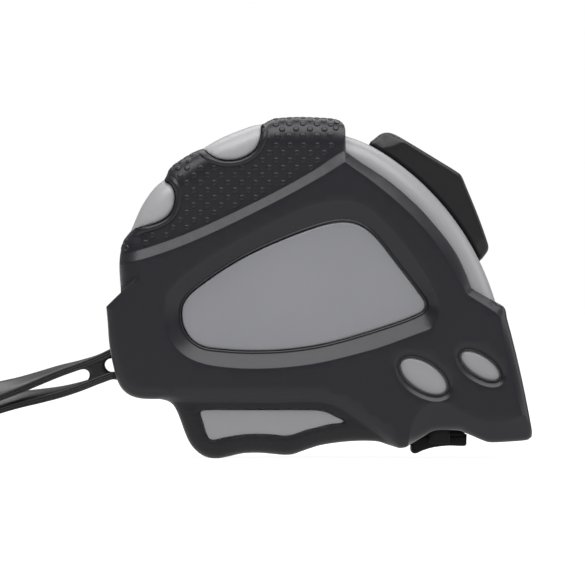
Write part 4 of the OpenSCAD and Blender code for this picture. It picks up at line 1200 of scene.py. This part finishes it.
over_dots = []
for L, R, tilt in zip(sil, sil_R, sil_tilt):
    s = np.concatenate([[0], np.cumsum(np.linalg.norm(np.diff(L, axis=0), axis=1))])
    rm = float(np.median(R))
    first = float(np.interp(-8.74, L[:, 0], s)) - sx if L is top_line else 1.0
    arcs = []
    a = rm * math.radians(tilt)
    while a < rm * math.pi / 2 + (HG - rm) - 0.5:
        arcs.append(a)
        a += 1.44
    for k, a in enumerate(arcs):
        t = first + (sx / 2 if k % 2 else 0)
        t += sx if t < 0.6 else 0
        while t < s[-1] - 0.9:
            u = t
            if L is top_line:            # rows keep their pitch along x below the curved edge
                mid = float(np.interp(-3.26, L[:, 0], s))
                u = mid + (t - mid) * (1 + 0.03 * rm * max(0.0, 1 - math.sin(min(a / rm, math.pi / 2))))
            x, z = np.interp(u, s, L[:, 0]), np.interp(u, s, L[:, 1])
            e = 0.3
            tx = np.interp(u + e, s, L[:, 0]) - np.interp(u - e, s, L[:, 0])
            tz = np.interp(u + e, s, L[:, 1]) - np.interp(u - e, s, L[:, 1])
            ln = math.hypot(tx, tz)
            out = np.array([-tz / ln, tx / ln])          # clockwise line: outward is to the left
            rr = float(np.interp(u, s, R))
            bb = float(np.interp(u, s, B_top)) if L is top_line else rr
            if a < rm * math.pi / 2:
                phi = a / rm
                q = np.array([x, z]) - out * rr * (1 - math.sin(phi))
                y = HG - bb + bb * math.cos(phi)
                n = np.array([out[0] * math.sin(phi) * bb, math.cos(phi) * rr, out[1] * math.sin(phi) * bb])
            else:
                q = np.array([x, z])
                y = HG - (4.0 if L is top_line else rm) - (a - rm * math.pi / 2)
                n = np.array([out[0], 0, out[1]])
            if y > 0.9 and clear_of(q[None])[0] and near(q[None], peak_line)[0] > 1.0 and inside(q[None] * 0.999, P_grip)[0] and (L is not top_line or -9.1 < q[0] < 3.9):
                over_dots.append((np.array([q[0], y, q[1]]), n, q, 0.2 if a < rm * math.radians(52) else 0.07))
            t += sx

low = [i for i, (c, n, q, h) in enumerate(over_dots) if h > 0.1]
d0, nn = surface(np.array([over_dots[i][2] for i in low]))
for i, d, n in zip(low, d0, nn):
    c, _, q, h = over_dots[i]
    over_dots[i] = (np.array([q[0], d, q[1]]), n, q, h)


def dome(c, n, r=0.58, h=0.2, k=9):
    """A low closed dome on a surface point, its foot sunk a little into the surface."""
    n = n / np.linalg.norm(n)
    u = np.cross(n, [0.3, 0.2, 0.93])
    u /= np.linalg.norm(u)
    v = np.cross(n, u)
    V = []
    for rad, up in ((r * 1.02, -0.1), (r * 0.95, h * 0.25), (r * 0.76, h * 0.78), (r * 0.4, h * 0.96)):
        for i in range(k):
            t = 2 * math.pi * i / k
            V.append(c + u * rad * math.cos(t) + v * rad * math.sin(t) + n * up)
    V.append(c + n * h)
    V.append(c - n * 0.12)
    F = []
    for ring in range(3):
        for i in range(k):
            j = (i + 1) % k
            F.append((ring * k + i, ring * k + j, (ring + 1) * k + j, (ring + 1) * k + i))
    for i in range(k):
        j = (i + 1) % k
        F.append((3 * k + i, 3 * k + j, 4 * k))
        F.append((j, i, 4 * k + 1))
    return V, F


for side, name in ((-1, "left"), (1, "right")):
    V, F = [], []
    for c, n, q, h in side_dots + over_dots:
        if side > 0 and not free_of_screws(np.array([q]))[0] and c[1] > 12:
            continue
        v, f = dome(c * [1, side, 1], n * [1, side, 1], 0.66, h)
        F += [tuple(i + len(V) for i in x) for x in f]
        V += v
    piece("grip_dots_" + name, V, F, RUBBER, sharp=60)


# ---------------------------------------------------------------- thumb lock
def carve(ob, V, F):
    """Takes a closed shape (mm) out of a piece."""
    me = bpy.data.meshes.new("cutter")
    me.from_pydata([(x * MM, (y + YM) * MM, z * MM) for x, y, z in V], [], F)
    bm = bmesh.new()
    bm.from_mesh(me)
    bmesh.ops.recalc_face_normals(bm, faces=bm.faces)
    bm.to_mesh(me)
    bm.free()
    c = bpy.data.objects.new("cutter", me)
    scene.collection.objects.link(c)
    m = ob.modifiers.new("carve", "BOOLEAN")
    m.operation = "DIFFERENCE"
    m.solver = "EXACT"
    m.object = c
    m.use_self = True
    dg = bpy.context.evaluated_depsgraph_get()
    dg.update()
    new = bpy.data.meshes.new_from_object(ob.evaluated_get(dg), depsgraph=dg)
    old = ob.data
    ob.modifiers.remove(m)
    ob.data = new
    bpy.data.objects.remove(c)
    bpy.data.meshes.remove(me)
    bpy.data.meshes.remove(old)
    new.polygons.foreach_set("use_smooth", np.ones(len(new.polygons), bool))
    new.set_sharp_from_angle(angle=math.radians(38))


lock_top = [(9.95, 62.8, 1), (10.2, 63.25, 1), (11.2, 64.05), (12.1, 64.75), (13.0, 65.1), (14.1, 65.1), (15.2, 64.7), (18.0, 63.1), (24.0, 59.45), (27.4, 57.35), (28.2, 56.75), (28.7, 55.9), (29.4, 54.2),
            (30.9, 50.6), (32.3, 47.0), (33.45, 43.7), (33.85, 42.3), (33.7, 41.4), (33.0, 40.4), (32.35, 39.5, 1)]
lock_loop = np.vstack([curve(lock_top, 0.6)[:-1], arc_line(AR + 0.16, 25.9, 60.85, 48)[:-1]])
facet = curve([(8.0, 63.3), (9.9, 62.9), (11.4, 61.9), (13.2, 62.0), (15.1, 62.45), (16.9, 63.3), (18.5, 64.6)], 0.5)
toe = curve([(36.0, 45.4), (33.6, 44.2), (31.8, 43.0), (30.6, 41.2), (30.2, 39.5)], 0.5)


def lock_drop(P):
    F1 = np.vstack([facet, [(18.5, 80), (8.0, 80)]])
    a = np.where(inside(P, F1), near(P, facet), -near(P, facet))
    F2 = np.vstack([toe, [(30.2, 20), (50, 20), (50, 45.4)]])
    b = np.where(inside(P, F2), near(P, toe), -near(P, toe))
    return np.maximum(1.1 * ramp(a / 2.4, 0.12), 0.8 * ramp(b / 2.6, 0.12))


V, F = slab(lock_loop, 9.0, 0.8, grid=1.5, crown=0.0, drop=lock_drop,
            creases=both(facet, 0.28) + both(toe, 0.3))
n = len(V)
neck = np.vstack([arc_line(AR - 2.6, 30, 52, 12), arc_line(AR + 0.6, 52, 30, 12)])
nv, nf = slab(neck, 3.1, 0.2, grid=0, rows=(0.0,), steps=(1.0,))
V2 = np.vstack([V, nv])
F2 = list(F) + [tuple(i + n for i in f) for f in nf]
lock = piece("thumb_lock_cap", V2, F2, BLACK, body="thumb_lock", replaces=["thumb_lock"], sharp=45)

# grip grooves across the thumb face
a, b = np.array([18.0, 63.1]), np.array([24.0, 59.45])
dirn = (b - a) / np.linalg.norm(b - a)
nrm = np.array([-dirn[1], dirn[0]])
if nrm[1] < 0:
    nrm = -nrm
V, F = [], []
for k in range(6):
    c = a + dirn * (0.6 + 1.5 * k)
    sec = [c - dirn * 0.42 + nrm * 0.8, c + dirn * 0.42 + nrm * 0.8, c + dirn * 0.34 - nrm * 0.3, c + dirn * 0.12 - nrm * 0.5, c - dirn * 0.12 - nrm * 0.5, c - dirn * 0.34 - nrm * 0.3]
    o = len(V)
    for y in (-6.2, 6.2):
        V += [(p[0], y, p[1]) for p in sec]
    F += [tuple(o + i for i in range(6)), tuple(o + 11 - i for i in range(6))]
    F += [(o + i, o + i + 6, o + (i + 1) % 6 + 6, o + (i + 1) % 6) for i in range(6)]
carve(lock, V, F)


# ---------------------------------------------------------------- finger brake
brake_loop = curve([(18.4, 4.6, 1), (18.3, 1.5, 1), (18.6, 1.02), (19.2, 0.85), (20.85, 1.5), (22.6, 2.02), (25.6, 2.4), (28.4, 2.35), (29.2, 2.4), (29.45, 2.65, 1), (29.5, 4.6, 1)], 0.35, True)
V, F = slab(brake_loop, 8.0, 0.5, grid=1.0, crown=0.08, gap=0.2)
n = len(V)


def rounded_box(x0, x1, y0, y1, z0, z1, r=0.2):
    """A closed box with chamfered edges."""
    V = []
    for x, dx in ((x0, 1), (x1, -1)):
        for y, dy in ((y0, 1), (y1, -1)):
            for z, dz in ((z0, 1), (z1, -1)):
                V += [(x, y + dy * r, z + dz * r), (x + dx * r, y, z + dz * r), (x + dx * r, y + dy * r, z)]

    def c(i, j, k, m):
        return ((i * 2 + j) * 2 + k) * 3 + m
    F = []
    for i in (0, 1):
        F.append((c(i, 0, 0, 0), c(i, 1, 0, 0), c(i, 1, 1, 0), c(i, 0, 1, 0)))
        F.append((c(0, i, 0, 1), c(1, i, 0, 1), c(1, i, 1, 1), c(0, i, 1, 1)))
        F.append((c(0, 0, i, 2), c(1, 0, i, 2), c(1, 1, i, 2), c(0, 1, i, 2)))
    for i in (0, 1):
        for j in (0, 1):
            F.append((c(i, j, 0, 0), c(i, j, 0, 1), c(i, j, 1, 1), c(i, j, 1, 0)))
            F.append((c(i, 0, j, 0), c(i, 0, j, 2), c(i, 1, j, 2), c(i, 1, j, 0)))
            F.append((c(0, i, j, 1), c(0, i, j, 2), c(1, i, j, 2), c(1, i, j, 1)))
            for k in (0, 1):
                F.append((c(i, j, k, 0), c(i, j, k, 1), c(i, j, k, 2)))
    return V, F


def add_boxes(V, F, boxes, r=0.2):
    V, F = [tuple(v) for v in V], list(F)
    for b in boxes:
        v, f = rounded_box(*b, r=r)
        F += [tuple(i + len(V) for i in q) for q in f]
        V += v
    return V, F


V, F = add_boxes(V, F, [(18.5, 29.1, -7.9, -7.0, 3.6, 5.75), (18.5, 29.1, 7.0, 7.9, 3.6, 5.75), (22.1, 25.9, -12.4, 12.4, 3.0, 4.3), (22, 26, 10.8, 12.6, 2.9, 7.6), (22, 26, -12.6, -10.8, 2.9, 7.6), (22.05, 25.95, 10.9, 14, 6.9, 7.8), (22.05, 25.95, -14, -10.9, 6.9, 7.8)])
# the brake's extra-dark material is painted shade for its place in shadow under the body
piece("brake_lever", V, F, BRAKE_PAINTED_SHADE, body="brake", replaces=["brake_button"], sharp=45)


# ---------------------------------------------------------------- end hook
cup_r = (9.5 ** 2 + 1.4 ** 2) / (2 * 1.4)
tip_z = 7.9
leaf_z = tip_z + 0.3


def cup(y):
    return cup_r - math.sqrt(cup_r ** 2 - y * y)


# face plate: an outline in (y, z) with round lower corners and a nail slot, pressed from 0.7 mm strip
def yz_plate(outline, holes, x0, x1, r=0.12):
    V2, F2 = triangulate(outline, holes, [], 1.4, 0.3)
    V = [(x0, p[0], p[1]) for p in V2] + [(x1, p[0], p[1]) for p in V2]
    n = len(V2)
    F = [tuple(f) for f in F2] + [(f[0] + n, f[2] + n, f[1] + n) for f in F2]
    for L in loops_of(F2):
        for a, b in zip(L, L[1:] + L[:1]):
            F.append((a, a + n, b + n, b))
    return V, F


out = curve([(-9.5, 10.5, 1), (-9.5, 7.2), (-9.5, 5.0, 1), (-9.1, 4.2), (-8.4, 3.72), (-7.6, 3.6, 1), (0, 3.6), (7.6, 3.6, 1), (8.4, 3.72), (9.1, 4.2), (9.5, 5.0, 1), (9.5, 7.2), (9.5, 10.5, 1), (8.2, 10.1), (5, 9.1), (2, 8.75), (0, 8.7), (-2, 8.75), (-5, 9.1), (-8.2, 10.1)], 0.7, True)
slot = ellipse(0, 6.0, 1.0, 1.5, 0, 28)
V, F = yz_plate(out, [slot], 40.35, 41.0)
o = len(V)
# leaf, cupped like the blade, with cut rear corners and a bend into the plate
ys = np.linspace(-9.0, 9.0, 25)
rows = []
for x in (31.0, 31.6, 32.4, 33.4, 34.6, 36.0, 37.4, 38.6, 39.4, 40.0, 40.45, 40.8, 40.95):
    rows.append(x)
top, bot = [], []
L = []
for x in rows:
    for y in ys:
        half = 9.0 if x > 33.4 else 9.0 - (33.4 - x) * 0.9
        yy = y * half / 9.0
        z = leaf_z + cup(yy)
        bend = max(0.0, x - 40.0)
        z -= 0.9 * (bend / 0.95) ** 2.2
        L.append((x, yy, z + 0.5))
nb = len(ys)
N = len(L)
V += L + [(x - (0.35 if x > 40.4 else 0), y, z - 0.48) for x, y, z in L]
for i in range(len(rows) - 1):
    for j in range(nb - 1):
        a, b, c, d = o + i * nb + j, o + i * nb + j + 1, o + (i + 1) * nb + j + 1, o + (i + 1) * nb + j
        F.append((a, b, c, d))
        F.append((a + N, d + N, c + N, b + N))
edge = [o + j for j in range(nb)] + [o + i * nb + nb - 1 for i in range(1, len(rows))] + [o + (len(rows) - 1) * nb + j for j in range(nb - 2, -1, -1)] + [o + i * nb for i in range(len(rows) - 2, 0, -1)]
for a, b in zip(edge, edge[1:] + edge[:1]):
    F.append((a, b, b + N, a + N))
piece("hook_leaf", V, F, STEEL, body="hook", replaces=["end_hook"], sharp=40)


# ---------------------------------------------------------------- belt clip
O = H + 5.0
HP = HW + 1.1
mid = curve([(HP + 0.5, 44.6), (HP + 0.5, 40.0), (HP + 0.5, 36.0), (HP + 0.55, 34.0), (HP + 1.0, 32.6), (HP + 3.0, 30.6), (O - 0.6, 28.6), (O + 0.3, 27.0), (O + 0.5, 25.6),
             (O + 0.5, 20.0), (O + 0.45, 15.0), (O - 1.2, 12.6), (H + 1.45, 9.9), (H + 1.45, 9.0), (H + 2.1, 8.1), (H + 3.1, 7.4)], 0.55)
Tm = np.gradient(mid, axis=0)
Tm /= np.linalg.norm(Tm, axis=1)[:, None]
Nm = np.stack([-Tm[:, 1], Tm[:, 0]], 1)
arc_len = np.concatenate([[0], np.cumsum(np.linalg.norm(np.diff(mid, axis=0), axis=1))])
V, F = [], []
u = [-1, -0.985, -0.94, -0.8, -0.6, -0.4, -0.2, 0, 0.2, 0.4, 0.6, 0.8, 0.94, 0.985, 1]
for i in range(len(mid)):
    left = min(arc_len[i], 1.6)
    right = min(arc_len[-1] - arc_len[i], 3.0)
    half = 7.5 - (1.6 - math.sqrt(max(0, 1.6 ** 2 - (1.6 - left) ** 2))) * 1.0 - (3.0 - math.sqrt(max(0, 9 - (3.0 - right) ** 2))) * 0.9
    for k in u:
        th = 0.5 - 0.14 * max(0, (abs(k) - 0.93) / 0.07)
        x = -2 + k * half
        V.append((x, mid[i, 0] + Nm[i, 0] * th, mid[i, 1] + Nm[i, 1] * th))
    for k in u:
        th = 0.5 - 0.14 * max(0, (abs(k) - 0.93) / 0.07)
        x = -2 + k * half
        V.append((x, mid[i, 0] - Nm[i, 0] * th, mid[i, 1] - Nm[i, 1] * th))
m = len(u)
for i in range(len(mid) - 1):
    a, b = i * 2 * m, (i + 1) * 2 * m
    for j in range(m - 1):
        F.append((a + j, a + j + 1, b + j + 1, b + j))
        F.append((a + m + j, b + m + j, b + m + j + 1, a + m + j + 1))
    F.append((a, b, b + m, a + m))
    F.append((a + m - 1, a + 2 * m - 1, b + 2 * m - 1, b + m - 1))
F.append(tuple(range(m)) + tuple(2 * m - 1 - j for j in range(m)))
e0 = (len(mid) - 1) * 2 * m
F.append(tuple(e0 + m - 1 - j for j in range(m)) + tuple(e0 + m + j for j in range(m)))
clip = piece("belt_clip_strip", V, F, STEEL, body=None, replaces=["belt_clip_root", "belt_clip"], sharp=45)
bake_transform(clip)


# ---------------------------------------------------------------- scale on the blade
DIGITS = {
    "0": [[(0.16, 0), (0, 0.16), (0, 0.84), (0.16, 1), (0.44, 1), (0.6, 0.84), (0.6, 0.16), (0.44, 0), (0.16, 0)]],
    "1": [[(0.1, 0.78), (0.34, 1), (0.34, 0)]],
    "2": [[(0, 0.82), (0.16, 1), (0.44, 1), (0.6, 0.84), (0.6, 0.6), (0.02, 0), (0.6, 0)]],
    "3": [[(0, 0.86), (0.15, 1), (0.45, 1), (0.6, 0.86), (0.6, 0.66), (0.44, 0.53), (0.2, 0.53)], [(0.44, 0.53), (0.6, 0.4), (0.6, 0.14), (0.45, 0), (0.15, 0), (0, 0.14)]],
    "4": [[(0.46, 0), (0.46, 1), (0, 0.3), (0.62, 0.3)]],
    "5": [[(0.57, 1), (0.07, 1), (0.03, 0.55), (0.2, 0.63), (0.43, 0.63), (0.6, 0.48), (0.6, 0.15), (0.45, 0), (0.13, 0), (0, 0.13)]],
    "6": [[(0.55, 0.9), (0.43, 1), (0.18, 1), (0, 0.82), (0, 0.15), (0.15, 0), (0.45, 0), (0.6, 0.15), (0.6, 0.43), (0.45, 0.58), (0.15, 0.58), (0, 0.45)]],
    "7": [[(0, 1), (0.6, 1), (0.22, 0)]],
    "8": [[(0.16, 0), (0, 0.15), (0, 0.4), (0.14, 0.53), (0, 0.66), (0, 0.86), (0.16, 1), (0.44, 1), (0.6, 0.86), (0.6, 0.66), (0.46, 0.53), (0.6, 0.4), (0.6, 0.15), (0.44, 0), (0.16, 0)],
          [(0.14, 0.53), (0.46, 0.53)]],
    "9": [[(0.05, 0.1), (0.17, 0), (0.42, 0), (0.6, 0.18), (0.6, 0.85), (0.45, 1), (0.15, 1), (0, 0.85), (0, 0.57), (0.15, 0.42), (0.45, 0.42), (0.6, 0.55)]],
}


def ink_line(V, F, pts, w, z, step=0.7):
    """A closed thin ribbon of ink along pts (x, y'), laid on the cupped face whose middle is at height z."""
    P = [np.array(pts[0], float)]
    for q in pts[1:]:
        q = np.array(q, float)
        n = max(1, int(math.ceil(np.linalg.norm(q - P[-1]) / step)))
        a = P[-1]
        P += [a + (q - a) * (i + 1) / n for i in range(n)]
    P = np.array(P)
    D = np.diff(P, axis=0)
    D /= np.linalg.norm(D, axis=1)[:, None]
    A, B = np.vstack([D[:1], D]), np.vstack([D, D[-1:]])
    if np.linalg.norm(P[0] - P[-1]) < 1e-6:
        A[0] = B[-1] = 0
        A[0], B[-1] = D[-1], D[0]
    M = A + B
    M /= np.linalg.norm(M, axis=1)[:, None]
    k = w / 2 / np.maximum(np.sum(M * A, axis=1), 0.5)
    Nn = np.stack([-M[:, 1], M[:, 0]], 1) * k[:, None]
    o = len(V)
    for p, n in zip(P, Nn):
        for q, up in ((p + n, 0.02), (p - n, 0.02), (p - n, -0.03), (p + n, -0.03)):
            V.append((q[0], q[1], z + cup(min(abs(q[1]), 9.49)) + up))
    for i in range(len(P) - 1):
        for j in range(4):
            a, b = o + i * 4 + j, o + i * 4 + (j + 1) % 4
            F.append((a, b, b + 4, a + 4))
    F.append((o, o + 1, o + 2, o + 3))
    e = o + (len(P) - 1) * 4
    F.append((e + 3, e + 2, e + 1, e))


def number(V, F, text, x, z, x_end, h=5.6, w=0.72):
    """Digits that read with the hook to the left, ending at x; the ones that don't fit on the strip are left out."""
    width = len(text) * 0.6 * h + (len(text) - 1) * 0.22 * h
    u0 = 0.0
    for ch in text:
        if x + width - u0 - 0.6 * h > -20.7 and x + width - u0 < x_end + 0.8:
            for run in DIGITS[ch]:
                ink_line(V, F, [(x + width - (u0 + u * h), -(v - 0.5) * h) for u, v in run], w, z)
        u0 += 0.82 * h


for body, z, zero, x_end in (("blade_tip", 7.9, 41.0, 36.6), ("blade_second", 7.6, 95.0, 38.3), ("blade_third", 7.3, 149.0, 38.3), ("blade_fourth", 7.0, 203.0, 38.3)):
    V, F, VR, FR = [], [], [], []
    n = int(math.ceil(zero - x_end))
    while zero - n > -29:
        x = zero - n
        if n % 10 == 0:
            red = n % 100 == 0
            number(VR if red else V, FR if red else F, str(n // 10), x + 0.7, z + 0.2, x_end)
        if x < -20.6:
            n += 1
            continue
        size = 4.4 if n % 10 == 0 else 3.2 if n % 5 == 0 else 2.2
        for s in (-1, 1):
            ink_line(V, F, [(x, s * 9.3), (x, s * (9.3 - size))], 0.3 if n % 10 == 0 else 0.22, z + 0.2)
        n += 1
    piece("scale_" + body, V, F, INK, body=body, sharp=30)
    if VR:
        piece("scale_tens_" + body, VR, FR, INK_RED, body=body, sharp=30)


# ---------------------------------------------------------------- CAD parts that keep their shape
def keep(node, mat, bevel=0.0, seg=2, angle=35):
    ob = bpy.data.objects[node]
    for s in ob.material_slots:
        s.material = mat
    if bevel:
        wl = ob.modifiers.new("weld", "WELD")
        wl.merge_threshold = 2e-6
        b = ob.modifiers.new("edges", "BEVEL")
        b.width = bevel * MM
        b.segments = seg
        b.limit_method = "ANGLE"
        b.angle_limit = math.radians(angle)
        b.use_clamp_overlap = True


for node, mat, bev in (("reel", REEL, 0.15), ("spring_cover", STEEL, 0), ("power_spring", SPRING, 0), ("centre_post", STEEL, 0.15),
                       ("side_disc_left", DISC, 0), ("side_disc_right", DISC, 0), ("blade_coil", BLADE, 0), ("blade_tip", BLADE, 0),
                       ("blade_second", BLADE, 0), ("blade_third", BLADE, 0), ("blade_fourth", BLADE, 0), ("hook_rivets", PLATED, 0.1),
                       ("lock_slider", BLACK, 0.15), ("lock_pad", PAD_RUBBER, 0.15), ("brake_pad", PAD_RUBBER, 0.15), ("brake_springs", SPRING, 0),
                       ("mouth_bumper", PAD_RUBBER, 0.1), ("mouth_guide", STEEL, 0.05), ("case_screws", PLATED, 0.12), ("belt_clip_screw", PLATED, 0.15),
                       ("strap_pin", STEEL, 0.2)):
    keep(node, mat, bev)


# ---------------------------------------------------------------- studio
def floor_material():
    m = bpy.data.materials.new("floor_white")
    m.use_nodes = True
    t = m.node_tree
    b = t.nodes["Principled BSDF"]
    b.inputs["Roughness"].default_value = 0.9
    b.inputs["Specular IOR Level"].default_value = 0.1
    b.inputs["Emission Strength"].default_value = 0.95
    b.inputs["Emission Color"].default_value = (1, 1, 1, 1)
    co = nd(t, "ShaderNodeTexCoord")
    no = nd(t, "ShaderNodeTexNoise")
    no.inputs["Scale"].default_value = 3.0
    t.links.new(co.outputs["Object"], no.inputs["Vector"])
    r = nd(t, "ShaderNodeValToRGB")
    r.color_ramp.elements[0].color = (0.2, 0.2, 0.2, 1)
    r.color_ramp.elements[1].color = (0.22, 0.22, 0.22, 1)
    t.links.new(no.outputs["Fac"], r.inputs["Fac"])
    t.links.new(r.outputs["Color"], b.inputs["Base Color"])
    return m


me = bpy.data.meshes.new("floor")
me.from_pydata([(-12, -12, 0), (12, -12, 0), (12, 12, 0), (-12, 12, 0)], [], [(0, 1, 2, 3)])
floor = bpy.data.objects.new("floor", me)
scene.collection.objects.link(floor)
me.materials.append(floor_material())

scene.view_settings.view_transform = "Standard"
scene.view_settings.look = "None"
scene.view_settings.exposure = 0.0
scene.view_settings.gamma = 1.0

w = bpy.data.worlds.new("studio")
scene.world = w
w.use_nodes = True
t = w.node_tree
t.nodes.clear()
out = nd(t, "ShaderNodeOutputWorld")
mix = nd(t, "ShaderNodeMixShader")
lp = nd(t, "ShaderNodeLightPath")
bg = nd(t, "ShaderNodeBackground")
bg.inputs[0].default_value = (1, 1, 1, 1)
bg.inputs[1].default_value = 1.0
sky = nd(t, "ShaderNodeBackground")
sky.inputs[1].default_value = 1.0
co = nd(t, "ShaderNodeTexCoord")
sep = nd(t, "ShaderNodeSeparateXYZ")
t.links.new(co.outputs["Generated"], sep.inputs[0])
rmp = nd(t, "ShaderNodeValToRGB")
els = rmp.color_ramp.elements
els[0].position = 0.0
els[0].color = (0.25, 0.25, 0.26, 1)
els[1].position = 1.0
els[1].color = (1.0, 1.0, 1.0, 1)
e = els.new(0.5)
e.color = (0.32, 0.32, 0.33, 1)
t.links.new(sep.outputs["Z"], rmp.inputs["Fac"])
t.links.new(rmp.outputs["Color"], sky.inputs[0])
t.links.new(lp.outputs["Is Camera Ray"], mix.inputs[0])
t.links.new(sky.outputs[0], mix.inputs[1])
t.links.new(bg.outputs[0], mix.inputs[2])
t.links.new(mix.outputs[0], out.inputs[0])


def area(name, loc, target, sx, sy, power, col=(1, 1, 1)):
    l = bpy.data.lights.new(name, "AREA")
    l.shape = "RECTANGLE"
    l.size, l.size_y = sx, sy
    l.energy = power
    l.color = col
    o = bpy.data.objects.new(name, l)
    scene.collection.objects.link(o)
    o.location = loc
    d = Vector(target) - Vector(loc)
    o.rotation_euler = d.to_track_quat("-Z", "Y").to_euler()
    return o


area("front_top", (0.0, -0.56, 1.08), (0, 0, 0.03), 1.8, 0.8, 23.0)
area("back_top", (0.0, 0.62, 1.0), (0, 0, 0.03), 1.2, 0.6, 6.5)
area("nose_side", (1.15, 0.05, 0.45), (0, 0, 0.03), 0.9, 0.7, 4.2)
